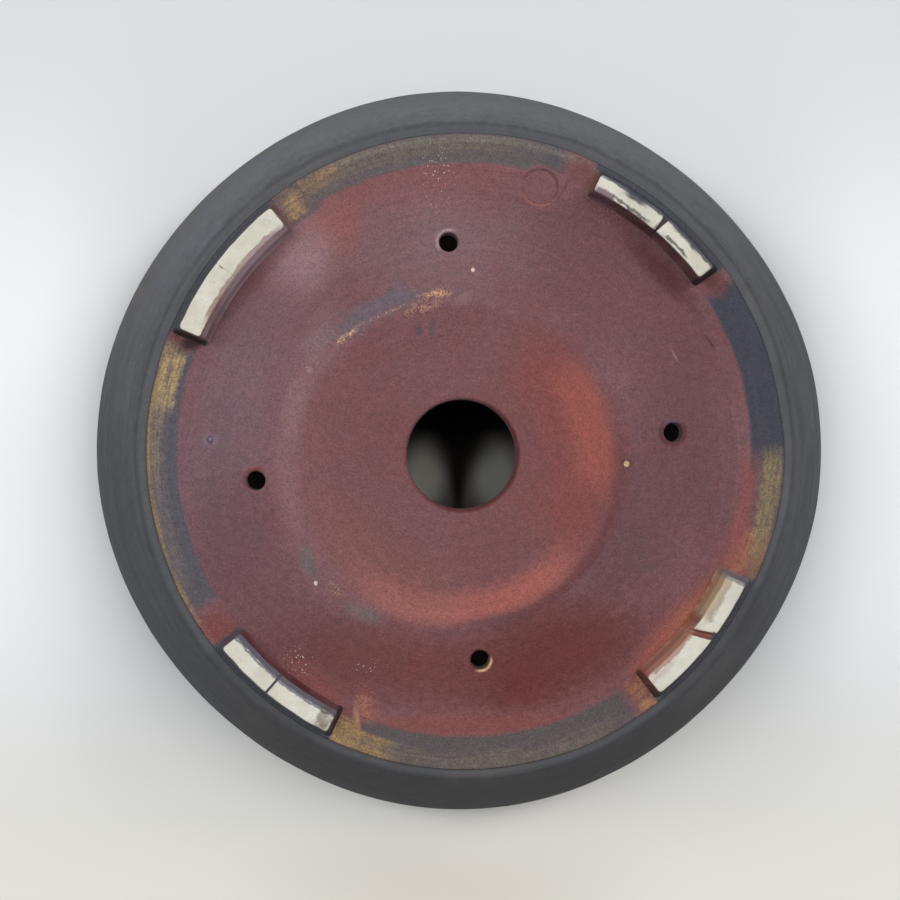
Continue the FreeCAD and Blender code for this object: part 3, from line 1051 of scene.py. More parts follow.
def banded(nodes, radius, turn, lumps, colour, bands, read=under_sheen, breaks=None):
    """Lays a list of arc bands over a colour, in their order."""
    for near, far, middle, half, soft, end_soft, ragged, strength, tone in bands:
        mask = nodes.use(
            BAND, Radius=radius, Turn=turn, Near=near, Far=far, Middle=middle, Half=half,
            Soft=soft, End_soft=end_soft, Wander=ragged_edge(nodes, lumps, ragged),
        )["Mask"]
        colour = laid(nodes, colour, mask, breaks, strength, read(*tone))
    return colour


# Red clay of the floor. Each stain is its middle in the photograph, its half length and half
# width in mm, its lean in degrees, how soft and how ragged its edge is, its strength, its colour.

CLAY = (118, 81, 84)
CLAY_MAUVE = (123, 92, 97)
CLAY_RED = (122, 74, 74)
BARE_DARK = (82, 53, 52)
BARE_LIGHT = (98, 65, 62)
SPECK_PALE = (176, 142, 138)
SPECK_DARK = (62, 42, 46)

CLAY_TONES_AND_SHADE = [
    # broad areas of lighter and darker clay; partly the clay's own tone and partly painted light and
    # shade, lighter towards the top and darker towards the bottom
    ((450, 185), 40, 8, 2, 0.6, 0.15, 0.6, (131, 88, 90)),
    ((560, 235), 22, 12, -20, 0.8, 0.15, 0.7, (110, 79, 82)),
    ((440, 245), 20, 12, 0, 0.8, 0.2, 0.7, (129, 104, 109)),
    ((390, 250), 8, 8, 0, 0.8, 0.3, 0.5, (117, 92, 96)),
    ((330, 232), 9, 7, 40, 0.7, 0.2, 0.7, (142, 92, 89)),
    ((298, 262), 9, 7, 60, 0.8, 0.25, 0.85, (153, 124, 129)),
    ((270, 330), 12, 16, 20, 0.8, 0.2, 0.6, (118, 93, 100)),
    ((238, 400), 10, 20, 5, 0.8, 0.2, 0.8, (121, 96, 105)),
    ((212, 470), 8, 18, 0, 0.8, 0.2, 0.8, (112, 90, 98)),
    ((232, 545), 12, 16, -20, 0.8, 0.2, 0.8, (104, 77, 84)),
    ((290, 635), 18, 12, -40, 0.8, 0.2, 0.7, (104, 73, 78)),
    ((640, 290), 20, 26, 20, 0.8, 0.15, 0.7, (111, 78, 82)),
    ((690, 400), 11, 26, 0, 0.8, 0.15, 0.8, (106, 75, 80)),
    ((700, 480), 10, 16, 0, 0.8, 0.2, 0.8, (104, 76, 81)),
    ((640, 505), 12, 22, -10, 0.8, 0.2, 0.8, (107, 76, 81)),
    ((615, 560), 16, 9, 40, 0.7, 0.25, 0.8, (103, 76, 81)),
    ((420, 670), 34, 11, -4, 0.7, 0.15, 0.8, (107, 64, 65)),
    ((560, 650), 24, 12, 14, 0.7, 0.15, 0.9, (100, 58, 58)),
    ((350, 650), 14, 9, -30, 0.8, 0.2, 0.7, (107, 71, 72)),
    ((525, 692), 8, 5, 0, 0.9, 0.3, 0.6, (98, 52, 53)),
    ((470, 726), 36, 3.4, 0, 0.7, 0.15, 0.75, (126, 77, 72)),
    ((310, 690), 11, 5, -36, 0.7, 0.2, 0.7, (133, 82, 80)),
]

DISC_MIDDLE_PX = (455, 462)
DISC_BANDS = [
    # inside of the floor's paler disc, and its arcs of bloom
    (0, 43.5, 0, 200, 1.5, 10, 0.8, 0.6, (117, 78, 80)),
    (24, 43, 10, 48, 7, 14, 1.0, 0.75, (129, 76, 75)),
    (33, 43.5, 15, 24, 3, 10, 0.8, 0.85, (150, 87, 80)),
    (36, 44, -80, 40, 3, 14, 0.7, 0.9, (158, 95, 88)),
    (37, 44, -112, 20, 3.5, 12, 1.2, 0.6, (164, 110, 103)),
    (28, 43, -125, 34, 6, 16, 1.2, 0.6, (128, 87, 86)),
    (42.5, 49, 172, 34, 2.4, 16, 1.0, 0.75, (133, 99, 103)),
    (36, 43, 176, 40, 4, 16, 1.0, 0.5, (128, 89, 91)),
    (44, 47, -35, 40, 1.2, 14, 0.8, 0.7, (104, 66, 68)),
]

CLAY_DETAILS = [
    # blue-grey flame mark above the drain hole
    ((369, 314), 11.5, 3.0, 30, 0.6, 0.5, 0.75, (106, 98, 108)),
    ((402, 298), 6, 2.0, 12, 0.6, 0.5, 0.7, (108, 98, 106)),
    ((419, 331), 1.0, 2.4, 4, 0.5, 0.3, 0.75, (88, 78, 88)),
    ((432, 329), 0.9, 2.2, -4, 0.5, 0.3, 0.7, (90, 80, 90)),
    ((463, 300), 2.2, 1.2, 30, 0.7, 0.5, 0.5, (140, 112, 112)),
    # blooms and dots on the left of the disc
    ((316, 345), 3.6, 7, -25, 0.8, 0.5, 0.6, (134, 112, 116)),
    ((293, 405), 2.6, 8, -10, 0.8, 0.5, 0.5, (139, 110, 113)),
    ((308, 560), 1.6, 4.4, 18, 0.6, 0.6, 0.7, (104, 100, 100)),
    ((362, 612), 5, 1.8, -24, 0.7, 0.6, 0.6, (112, 104, 104)),
    ((487, 622), 12, 1.6, 12, 0.8, 0.6, 0.5, (92, 68, 74)),
    # single specks and scratches
    ((473, 270), 0.5, 0.55, 0, 0.4, 0.1, 1.0, (222, 200, 176)),
    ((627, 464), 1.3, 1.4, 0, 0.4, 0.1, 0.8, (92, 60, 56)),
    ((627, 464), 0.7, 0.8, 0, 0.4, 0.1, 0.95, (206, 168, 126)),
    ((211, 440), 1.9, 1.7, 0, 0.6, 0.1, 0.5, (136, 120, 132)),
    ((211, 440), 0.9, 1.2, 0, 0.4, 0.1, 0.8, (78, 66, 76)),
    ((211, 439), 0.45, 0.5, 0, 0.4, 0.1, 0.7, (140, 126, 140)),
    ((316, 583), 0.45, 0.6, 0, 0.4, 0.2, 0.9, (206, 190, 186)),
    ((310, 370), 1.0, 1.0, 0, 0.4, 0.2, 0.6, (150, 120, 122)),
    ((711, 342), 2.6, 0.3, -52, 0.6, 0.1, 0.7, (80, 58, 62)),
    ((675, 355), 1.8, 0.3, -60, 0.6, 0.1, 0.6, (150, 120, 120)),
    ((323, 252), 1.3, 0.3, -70, 0.6, 0.1, 0.35, (92, 62, 66)),
]

# Broken golden edge of the flame mark, and smaller golden flecks

GOLD_STAINS = [
    ((347, 336), 2.8, 0.8, 35, 0.7, 0.6, 1.0, (196, 158, 120)),
    ((378, 317), 6, 0.5, 24, 0.7, 0.6, 0.8, (170, 134, 114)),
    ((434, 294), 3.6, 0.7, 6, 0.7, 0.6, 1.0, (206, 164, 122)),
    ((426, 304), 5, 2.0, 30, 0.8, 0.6, 0.7, (168, 128, 108)),
    ((336, 590), 2.4, 1.2, -40, 0.7, 0.6, 0.9, (146, 126, 96)),
    ((300, 190), 4.0, 4.4, 40, 0.7, 0.4, 0.4, (150, 118, 92)),
    ((330, 172), 6, 1.4, 26, 0.7, 0.4, 0.6, (148, 120, 94)),
    ((366, 706), 2.6, 4.4, 14, 0.7, 0.4, 0.45, (168, 120, 94)),
    ((652, 672), 2.0, 4.0, -40, 0.7, 0.4, 0.7, (188, 130, 88)),
]

# Patches where fine white powder lies

POWDER = [
    ((438, 176), 4.0, 7.0, 0, 0.9, 0.3, 0.9, (214, 196, 194)),
    ((299, 662), 3.4, 3.0, 0, 0.9, 0.3, 1.0, (214, 198, 194)),
    ((367, 666), 3.6, 1.4, 0, 0.9, 0.3, 1.0, (206, 190, 186)),
    ((609, 214), 2.6, 2.4, 0, 0.9, 0.3, 0.9, (176, 156, 158)),
    ((345, 340), 6.0, 2.0, 40, 0.9, 0.3, 0.7, (188, 170, 172)),
    ((310, 370), 2.0, 6.0, -16, 0.9, 0.3, 0.7, (176, 158, 164)),
]

# Burnt margin outside the floor's main area: near and far radius, the middle and half of its
# arc, its soft edges, its raggedness, its strength and its colour

MARGIN_BANDS = [
    (78.9, 90, 97, 25, 0.7, 1.5, 0.35, 0.95, (96, 91, 93)),
    (77.2, 90, 124, 3.6, 0.8, 1.2, 0.4, 0.9, (98, 88, 90)),
    (80.5, 90, 73, 2, 0.9, 2.4, 0.5, 0.9, (88, 84, 90)),
    (78.2, 90, 14, 18.5, 0.7, 1.4, 0.35, 0.97, (68, 71, 81)),
    (79.4, 90, -8, 7, 0.8, 2.5, 0.4, 0.9, (84, 82, 89)),
    (75.5, 81.5, -13, 12, 1.8, 4, 0.5, 0.5, (138, 82, 78)),
    (77.9, 90, 276, 27, 0.7, 1.5, 0.35, 0.92, (88, 84, 86)),
    (78.6, 90, 185, 25.4, 0.7, 1.5, 0.35, 0.93, (86, 85, 93)),
]

# Ochre and gold flashes on the margin, broken into streaks by the turning marks. The line along
# the floor's edge on the left is partly gold flash and partly a painted highlight.

GOLD_BANDS_AND_HIGHLIGHT = [
    (81.5, 86, 102, 20, 1.4, 6, 0.9, 0.7, (114, 104, 90)),
    (84.6, 86.4, 90, 26, 0.5, 5, 0.3, 0.7, (128, 122, 114)),
    (78.6, 84.5, 125.2, 1.8, 1.2, 1.0, 0.6, 1.0, (166, 136, 98)),
    (82.5, 86.6, 118.5, 3.0, 0.8, 1.4, 0.6, 0.8, (136, 110, 88)),
    (81.5, 86.8, -11, 11, 1.2, 3, 0.8, 1.0, (138, 120, 90)),
    (84.4, 86.8, -22, 4, 1.0, 2.5, 0.6, 0.9, (120, 96, 78)),
    (79.6, 82.5, -20, 4.5, 1.0, 2.0, 0.5, 0.5, (166, 112, 86)),
    (82.5, 90, 272, 26, 1.4, 5, 0.9, 0.7, (114, 104, 94)),
    (79.2, 90, 245.6, 2.4, 0.8, 1.4, 0.5, 1.0, (162, 136, 98)),
    (81.4, 90, 251, 5, 0.8, 2.2, 0.6, 1.0, (150, 124, 90)),
    (77.6, 90, 306.4, 2.2, 0.9, 1.2, 0.5, 0.9, (160, 116, 84)),
    (82.2, 86.5, 186, 20, 1.2, 6, 0.9, 0.7, (116, 106, 102)),
    (80.6, 86.8, 166, 6.0, 1.2, 2.0, 0.8, 1.0, (174, 148, 108)),
    (83.2, 86.6, 176, 8, 0.8, 4, 0.8, 0.7, (138, 120, 100)),
    # partly gold flash, partly a painted highlight along the floor's edge
    (85.7, 87.2, 190, 24, 0.3, 6, 0.25, 0.9, (142, 118, 86)),
]

FLASHES_LIGHT_AND_SHADOWS = [
    # red and orange flashes beside the feet; the bright orange beside foot_front_left is partly flash
    # and partly painted light, and two dark marks are painted shadows of feet
    # partly red flash, partly painted light on the floor beside foot_front_left's inner side
    ((670, 636), 15, 3.6, 50, 0.7, 0.25, 0.75, (152, 90, 80)),
    ((690, 614), 8, 1.6, 56, 0.8, 0.4, 0.6, (166, 106, 88)),
    ((738, 562), 5, 2.6, 74, 0.8, 0.3, 0.6, (150, 94, 80)),
    ((357, 720), 0.8, 4.2, 6, 0.6, 0.3, 0.6, (176, 134, 100)),
    ((366, 706), 2.4, 4.2, 14, 0.7, 0.3, 0.4, (150, 92, 78)),
    ((222, 628), 5.5, 4.6, -40, 0.6, 0.2, 0.9, (120, 74, 72)),
    ((714, 284), 3.4, 2.6, -40, 0.6, 0.2, 0.8, (110, 70, 70)),
    ((583, 172), 3.6, 3.4, 0, 0.6, 0.2, 0.8, (116, 78, 80)),
    ((591, 190), 0.3, 2.0, -18, 0.6, 0.3, 0.6, (176, 124, 96)),
    # painted shadow of foot_back_left on the floor by its inner side
    ((660, 270), 12, 2.8, -46, 0.7, 0.1, 0.75, (86, 54, 56)),
    ((236, 300), 14, 2.2, 48, 0.7, 0.1, 0.5, (104, 74, 78)),
    # painted shadow on the floor at one end of foot_back_right
    ((195, 342), 4.2, 2.0, 30, 0.6, 0.2, 0.85, (58, 44, 46)),
]

# Rims of the holes: the hole's place, then an arc band round its middle

HOLE_RIMS = [
    (WIRE_HOLES["back"], (2.8, 3.6, 140, 75, 0.35, 25, 0.1, 0.75, (170, 146, 150))),
    (WIRE_HOLES["left"], (2.7, 3.9, 10, 200, 0.4, 20, 0.15, 0.75, (92, 56, 58))),
    (WIRE_HOLES["left"], (2.8, 3.8, 95, 45, 0.4, 25, 0.15, 0.6, (112, 92, 112))),
    (WIRE_HOLES["right"], (2.8, 3.7, 140, 85, 0.4, 25, 0.15, 0.75, (120, 66, 60))),
    (WIRE_HOLES["front"], (2.7, 3.4, -50, 55, 0.25, 22, 0.1, 0.85, (206, 164, 128))),
    (DRAIN_PLACE, (13.5, 16.0, -35, 100, 0.3, 45, 0.1, 0.7, (88, 48, 48))),
]

# The pad's face and its pressed ring, in the same way round the pad's middle. In the ring's
# groove, the lighter arc below its middle is a painted highlight and the darker arc above it
# painted shade

PAD_RING_LIGHT_AND_SHADE = [
    (-9, 6.4, 0, 400, 0.25, 10, 0.15, 0.7, (124, 86, 90)),
    # painted highlight on the lit side of the ring's groove
    (4.5, 5.1, 255, 50, 0.15, 25, 0.05, 0.6, (160, 104, 92)),
    # painted shade on the shaded side of the ring's groove
    (4.5, 5.2, 60, 70, 0.2, 30, 0.05, 0.35, (84, 58, 62)),
]


def rimmed(nodes, place, lumps, colour, middle, bands):
    """Lays arc bands round a middle given in the pot's own axes."""
    spot = Vector((*middle, 0))
    around = round_middle(nodes, place, (spot.dot(in_photo(1, 0)), spot.dot(in_photo(0, 1))))
    return banded(nodes, around["Radius"], around["Turn"], lumps, colour, bands)


def slip_beside_feet():
    """Arc bands where the wall's dark slip runs over the seam and up the feet's outer sides."""
    bands = []
    for node in FOOT_HABITS:
        root = foot_sizes(node)["root"]
        middle = picture_angle((root["start"] + root["end"]) / 2)
        half = (root["end"] - root["start"]) / 2
        bands.append((root["outer"] - 1, 95, middle, half + 0.4, 0.3, 0.5, 0.25, 1.0, (76, 78, 84)))
    return bands


def clay_finish():
    material, nodes, shader = new_finish("fired_red_clay", 0.32)
    place, lumps = where(nodes)
    radius, turn = place["Radius"], place["Turn"]
    marks = marks_round(nodes, radius, turn, 0.55, 26)
    streaks = marks_round(nodes, radius, turn, 0.7, 10)
    colour = nodes.paint(
        nodes.ramp(lumps["Coarse"], -0.6, 0.7), under_sheen(*CLAY), under_sheen(*CLAY_MAUVE)
    )
    colour = nodes.paint(nodes.ramp(lumps["Medium"], 0.0, 1.2, 0, 0.5), colour, under_sheen(*CLAY_RED))
    # broad clay tones, partly painted light and shade: lighter towards the top, darker towards the bottom
    colour = stained(nodes, place, lumps, colour, CLAY_TONES_AND_SHADE)
    disc = round_middle(nodes, place, photo_mm(DISC_MIDDLE_PX))
    colour = banded(nodes, disc["Radius"], disc["Turn"], lumps, colour, DISC_BANDS)
    colour = banded(nodes, radius, turn, lumps, colour, MARGIN_BANDS)
    broken = nodes.ramp(nodes.plus_share(lumps["Small"], 0.4, streaks), -1.0, 0.7, 0.15, 1.0)
    flecks = nodes.ramp(nodes.plus(lumps["Small"], lumps["Grain"]), -0.5, 0.6)
    broken = nodes.times(broken, nodes.ramp(lumps["Grain"], -0.7, 0.3, 0.65, 1.0))
    powder = specks(nodes, place, 0.62, 0.22, 0.7)
    # gold flashes, with a painted highlight along part of the floor's edge
    colour = banded(nodes, radius, turn, lumps, colour, GOLD_BANDS_AND_HIGHLIGHT, breaks=broken)
    # flashes and details, with painted light and painted shadows beside the feet
    colour = stained(nodes, place, lumps, colour, FLASHES_LIGHT_AND_SHADOWS + CLAY_DETAILS)
    colour = stained(nodes, place, lumps, colour, GOLD_STAINS, breaks=flecks)
    colour = stained(nodes, place, lumps, colour, POWDER, breaks=powder)
    colour = banded(nodes, radius, turn, lumps, colour, slip_beside_feet())
    for hole, band in HOLE_RIMS:
        colour = rimmed(nodes, place, lumps, colour, polar(*hole), [band])
    # the pad's face, and a painted highlight and painted shade in its ring's groove
    pad_middle = ((pad_low + pad_high) / 2).xy
    colour = rimmed(nodes, place, lumps, colour, pad_middle, PAD_RING_LIGHT_AND_SHADE)
    broad = marks_round(nodes, disc["Radius"], disc["Turn"], 2.4, 50)
    pale = specks(nodes, place, 2.6, 0.16, 0.66)
    dark = specks(nodes, place, 2.9, 0.2, 0.5)
    # the sides of the holes and the inside of the floor are plain dark red
    deep = nodes.ramp(place["Height"], slab_low.z + 0.9, slab_low.z + 1.8)
    bare = nodes.paint(nodes.ramp(lumps["Medium"], -0.8, 0.8), srgb(*BARE_DARK), srgb(*BARE_LIGHT))
    colour = nodes.paint(deep, colour, bare)
    colour = nodes.shade(
        colour, (lumps["Medium"], 0.06), (lumps["Small"], 0.13), (lumps["Grain"], 0.33),
        (marks, 0.08), (broad, 0.05),
    )
    colour = nodes.paint(nodes.times(pale, 0.5), colour, srgb(*SPECK_PALE))
    colour = nodes.paint(nodes.times(dark, 0.5), colour, srgb(*SPECK_DARK))
    rise = nodes.pile(
        nodes.times(lumps["Grain"], 0.5), (lumps["Small"], 0.5), (marks, 0.35), (pale, 0.8), (dark, -0.8)
    )
    rough = nodes.ramp(lumps["Medium"], -1, 1, 0.58, 0.74)
    surfaced(nodes, shader, colour, rough, rise, 0.6)
    return material


# Dark slip of the wall and lip, in streaks that run round the pot

SLIP = (90, 91, 96)
SLIP_LIGHT = (110, 111, 116)
SLIP_DARK = (75, 75, 78)
SLIP_BROWN = (102, 95, 84)
# lighter brown of the wall's upper part, partly slip and partly painted sheen
SLIP_EDGE_AND_SHEEN = (116, 108, 98)
SLIP_SCUFF = (128, 126, 126)
SLIP_PIT = (58, 57, 58)
# Arc bands on the wall; the first two and the last are painted light and shade
SLIP_BANDS_AND_SHADE = [
    # painted light: the wall lighter towards the top
    (92, 110, 98, 60, 5, 24, 0.9, 0.8, (118, 119, 124)),
    # painted shade: the wall darker towards the bottom
    (86, 110, 275, 56, 4, 22, 0.8, 0.75, (72, 69, 66)),
    (101, 110, 140, 28, 2, 10, 1.2, 0.5, (118, 108, 96)),
    (101, 110, 60, 24, 2, 10, 1.2, 0.45, (120, 112, 102)),
    (86, 110, 200, 20, 4, 12, 0.8, 0.4, (78, 80, 84)),
    (88, 95, 318, 7, 1.5, 3, 0.6, 0.4, (100, 100, 100)),
    # painted shade: the skirt beside the seam darkened against the light it gets
    (80, 90.4, 0, 200, 0.6, 1, 0.3, 0.6, (70, 71, 77)),
]


def slip_finish():
    material, nodes, shader = new_finish("brushed_dark_slip", 0.36)
    place, lumps = where(nodes)
    radius, turn, height = place["Radius"], place["Turn"], place["Height"]
    slant = nodes.plus_share(height, 0.8, radius)
    fine = marks_round(nodes, slant, turn, 0.7, 12)
    wide = marks_round(nodes, slant, turn, 3.6, 20)
    colour = nodes.paint(nodes.ramp(wide, -0.9, 1.0), srgb(*SLIP_DARK), srgb(*SLIP_LIGHT))
    colour = nodes.paint(0.55, colour, srgb(*SLIP))
    # bands, with the wall painted lighter at the top and darker at the bottom and on the skirt
    colour = banded(nodes, radius, turn, lumps, colour, SLIP_BANDS_AND_SHADE, read=srgb)
    brown = nodes.times(nodes.ramp(lumps["Coarse"], 0.0, 1.2), 0.35)
    colour = nodes.paint(brown, colour, srgb(*SLIP_BROWN))
    # lighter brown towards the top of the wall: partly the slip's brown edge, partly a painted sheen
    edge = nodes.times(nodes.ramp(height, 36.0, 58.0), nodes.ramp(fine, -0.6, 0.9, 0.1, 0.55))
    colour = nodes.paint(edge, colour, srgb(*SLIP_EDGE_AND_SHEEN))
    scuffs = nodes.times(nodes.ramp(lumps["Small"], 0.5, 1.1), nodes.ramp(fine, -0.2, 0.9))
    colour = nodes.paint(nodes.times(scuffs, 0.4), colour, srgb(*SLIP_SCUFF))
    pits = specks(nodes, place, 3.2, 0.3, 0.6)
    colour = nodes.paint(nodes.times(pits, 0.5), colour, srgb(*SLIP_PIT))
    colour = nodes.shade(
        colour, (fine, 0.06), (lumps["Medium"], 0.08), (lumps["Small"], 0.10), (lumps["Grain"], 0.14)
    )
    rise = nodes.pile(nodes.times(lumps["Grain"], 0.25), (fine, 0.5), (lumps["Small"], 0.4), (pits, -0.8))
    surfaced(nodes, shader, colour, nodes.ramp(fine, -1, 1, 0.5, 0.68), rise, 0.5)
    return material


# Feet: pale worn contact face, slip outside, red clay inside

FOOT_TONES_AND_LIGHT = {
    # inner side, outer side, worn border of the face, how high the pale face reaches up the
    # sides, and how high its worn border does. The inner sides' tones are partly painted light and
    # shade: darker where a foot's inner side faces away from the lamps, orange where it faces them,
    # and a painted sheen on foot_back_right
    # inner side partly the clay's mauve, partly a painted sheen
    "foot_back_right": ((144, 122, 128), (84, 86, 92), (124, 96, 84), 0.30, 1.0),
    # inner side darkened as painted shade
    "foot_back_left": ((84, 54, 54), (66, 68, 78), (92, 84, 92), 0.50, 1.2),
    # inner side brightened as painted light
    "foot_front_left": ((160, 86, 64), (80, 82, 86), (140, 96, 84), 0.30, 1.0),
    "foot_front_right": ((96, 52, 54), (82, 84, 88), (112, 113, 124), 0.34, 3.0),
}
# Arc bands on the feet. The near-black band at one end of each foot is painted shade, and the pale strip
# on foot_back_right's inner side a painted highlight
FOOT_BANDS_AND_SHADE = {
    "foot_back_right": [
        (78.0, 79.4, 142, 11, 0.25, 2, 0.45, 0.85, (150, 124, 108)),
        # painted highlight on the inner side
        (75, 79.0, 138, 9, 0.4, 4, 0.3, 0.5, (176, 156, 164)),
        (76, 88, 128.0, 0.7, 1, 0.4, 0.2, 0.7, (122, 92, 86)),
        # painted shade on the foot's end
        (76, 88, 157.7, 0.8, 1, 0.4, 0.2, 0.9, (38, 32, 34)),
    ],
    "foot_back_left": [
        (82.5, 88, 50, 14, 0.25, 2, 0.45, 0.9, (70, 72, 84)),
        (81.5, 88, 56.4, 2.2, 0.4, 1.2, 0.5, 0.9, (68, 70, 82)),
        (82.0, 88, 44, 3.0, 0.4, 1.2, 0.5, 0.8, (74, 76, 88)),
        (78.9, 79.7, 55.8, 4.2, 0.15, 1.0, 0.6, 0.8, (76, 70, 76)),
        (78.8, 79.6, 44.6, 3.0, 0.15, 1.0, 0.6, 0.8, (72, 66, 70)),
        (77, 79.8, 62.0, 1.9, 0.4, 0.6, 0.4, 0.85, (112, 84, 100)),
        # painted shade on the foot's end
        (76, 88, 36.2, 0.8, 1, 0.4, 0.2, 0.95, (40, 34, 38)),
        (76, 88, 64.9, 0.5, 1, 0.3, 0.2, 0.7, (140, 100, 86)),
    ],
    "foot_front_left": [
        (76, 80.0, 330, 5.0, 0.5, 1.2, 0.7, 0.75, (178, 154, 124)),
        (79.0, 80.4, 329, 4.5, 0.5, 1.2, 0.9, 0.4, (150, 144, 140)),
        (76, 78.7, 316, 6.5, 0.25, 1.6, 0.5, 0.8, (168, 122, 106)),
        (77, 88, 334.9, 0.9, 1, 0.3, 0.2, 0.85, (124, 122, 128)),
        # painted shade on the foot's end
        (76, 88, 308.0, 0.6, 1, 0.3, 0.2, 0.85, (60, 44, 42)),
    ],
    "foot_front_right": [
        (79.2, 80.0, 231, 12.6, 0.25, 0.8, 0.55, 0.9, (112, 113, 124)),
        (78, 85, 241.8, 1.2, 1, 0.8, 0.9, 0.6, (96, 78, 70)),
        # painted shade on the foot's end
        (76, 88, 244.0, 0.7, 1, 0.3, 0.2, 0.9, (46, 40, 42)),
        (76, 88, 218.0, 0.6, 1, 0.3, 0.2, 0.85, (92, 88, 98)),
    ],
}
FOOT_STAINS = {
    "foot_back_right": [
        ((222, 268), 0.9, 0.25, -40, 0.5, 0.3, 0.7, (90, 80, 78)),
    ],
    "foot_back_left": [
        ((656, 228), 1.6, 0.6, 50, 0.5, 0.4, 0.7, (66, 56, 60)),
    ],
    "foot_front_left": [
        ((664, 672), 3.8, 0.8, 46, 0.8, 0.6, 0.35, (170, 130, 134)),
    ],
    "foot_front_right": [
        ((322, 724), 2.0, 0.9, -36, 0.7, 0.9, 0.5, (120, 98, 86)),
    ],
}
FOOT_FACE = (226, 222, 209)
FOOT_FACE_DARK = (206, 200, 184)
FOOT_SPECK = (150, 138, 130)
FOOT_CHIP = (168, 156, 148)


def foot_finish(node):
    inner_tone_and_light, outer_tone, border_tone, reach, border_reach = FOOT_TONES_AND_LIGHT[node]
    material, nodes, shader = new_finish(f"finish_{node}", 0.3)
    place, lumps = where(nodes)
    sizes = foot_sizes(node)
    middle = (sizes["root"]["inner"] + sizes["root"]["outer"]) / 2
    outside = nodes.ramp(place["Radius"], middle + 1, middle + 3)
    # inner side's tone, partly painted light and shade
    inner = nodes.paint(nodes.ramp(lumps["Medium"], -0.6, 0.8), srgb(*inner_tone_and_light), srgb(*CLAY))
    colour = nodes.paint(outside, inner, srgb(*outer_tone))
    ragged = nodes.pile(place["Height"], (lumps["Small"], 0.16), (lumps["Medium"], 0.1))
    near = nodes.ramp(ragged, border_reach * 0.6, border_reach, 1.0, 0.0)
    colour = nodes.paint(nodes.times(near, 0.8), colour, srgb(*border_tone))
    face = nodes.paint(
        nodes.ramp(lumps["Medium"], -0.9, 0.9), srgb(*FOOT_FACE), srgb(*FOOT_FACE_DARK)
    )
    grey = specks(nodes, place, 1.1, 0.16, 0.55)
    face = nodes.paint(nodes.times(grey, 0.5), face, srgb(*FOOT_SPECK))
    chips = nodes.times(nodes.ramp(lumps["Small"], 0.75, 1.25), 0.6)
    face = nodes.paint(chips, face, srgb(*FOOT_CHIP))
    worn = nodes.ramp(ragged, reach * 0.4, reach, 1.0, 0.0)
    colour = nodes.paint(worn, colour, face)
    radius, turn = place["Radius"], place["Turn"]
    # bands, with painted shade at the foot's end and a painted highlight on one inner side
    colour = banded(nodes, radius, turn, lumps, colour, FOOT_BANDS_AND_SHADE[node], read=srgb)
    colour = stained(nodes, place, lumps, colour, FOOT_STAINS[node], spot=face_mm, read=srgb)
    colour = nodes.shade(colour, (lumps["Small"], 0.06), (lumps["Grain"], 0.07))
    rise = nodes.pile(nodes.times(lumps["Grain"], 0.4), (lumps["Small"], 0.6), (grey, -0.6))
    surfaced(nodes, shader, colour, nodes.ramp(worn, 0, 1, 0.45, 0.85), rise, 0.55)
    return material


def dress(pieces):
    clay, slip = clay_finish(), slip_finish()
    for part, finish in (("slab", clay), ("pad", clay), ("wall", slip), ("lip", slip)):
        pieces[part].data.materials.append(finish)
    for node in FOOT_HABITS:
        pieces[node].data.materials.append(foot_finish(node))


dress(pieces)


# Camera, and lamps that hang on it and so go round with it

def make_camera():
    data = bpy.data.cameras.new("camera")
    data.lens = LENS_MM
    data.sensor_width = SENSOR_MM
    data.clip_end = 10
    camera = bpy.data.objects.new("camera", data)
    bpy.context.scene.collection.objects.link(camera)
    floor_height = slab_low.z * MM
    place = in_photo(
        CAMERA_ACROSS_MM * MM, CAMERA_UP_MM * MM, floor_height - CAMERA_DISTANCE_MM * MM
    )
    aim = in_photo(AIM_ACROSS_MM * MM, AIM_UP_MM * MM, floor_height)
    back = (place - aim).normalized()
    right = in_photo(0, 1).cross(back).normalized()
    up = back.cross(right)
    camera.matrix_world = Matrix.Translation(place) @ Matrix((right, up, back)).transposed().to_4x4()
    bpy.context.scene.camera = camera
    return camera


def make_lamp(camera, name, turn, tilt, strength, width, tint):
    """A wide soft lamp, tilt degrees off the camera's axis towards turn degrees in the picture."""
    data = bpy.data.lights.new(name, "SUN")
    data.energy = strength
    data.angle = math.radians(width)
    data.color = tint
    lamp = bpy.data.objects.new(name, data)
    bpy.context.scene.collection.objects.link(lamp)
    lamp.parent = camera
    around, off = math.radians(turn), math.radians(tilt)
    towards = Vector(
        (math.cos(around) * math.sin(off), math.sin(around) * math.sin(off), math.cos(off))
    )
    lamp.rotation_mode = "QUATERNION"
    lamp.rotation_quaternion = towards.to_track_quat("Z", "Y")


# Each window is a tall strip of light, made of lamps at growing tilts from the camera's axis

WINDOWS = {"right": (32, (1, 0.99, 0.97)), "left": (155, (0.97, 0.99, 1))}
WINDOW_STEPS = ((14, 0.42), (28, 0.38), (44, 0.30), (60, 0.25))
WINDOW_WIDTH = 16
FILL_TINT = (0.93, 0.96, 1, 1)
FILL_STRENGTH = 0.3


def make_lamps(camera):
    for side, (turn, tint) in WINDOWS.items():
        for tilt, strength in WINDOW_STEPS:
            make_lamp(camera, f"window_{side}_{tilt}", turn, tilt, strength, WINDOW_WIDTH, tint)


def make_world():
    world = bpy.data.worlds.new("studio")
    bpy.context.scene.world = world
    world.use_nodes = True
    background = world.node_tree.nodes["Background"]
    background.inputs["Color"].default_value = FILL_TINT
    background.inputs["Strength"].default_value = FILL_STRENGTH


# Backdrop and floor, two sheets that only the camera sees

BACKDROP_HALF_M = 0.4
FLOOR_HALF_M = 6
PALE = (226, 227, 228)
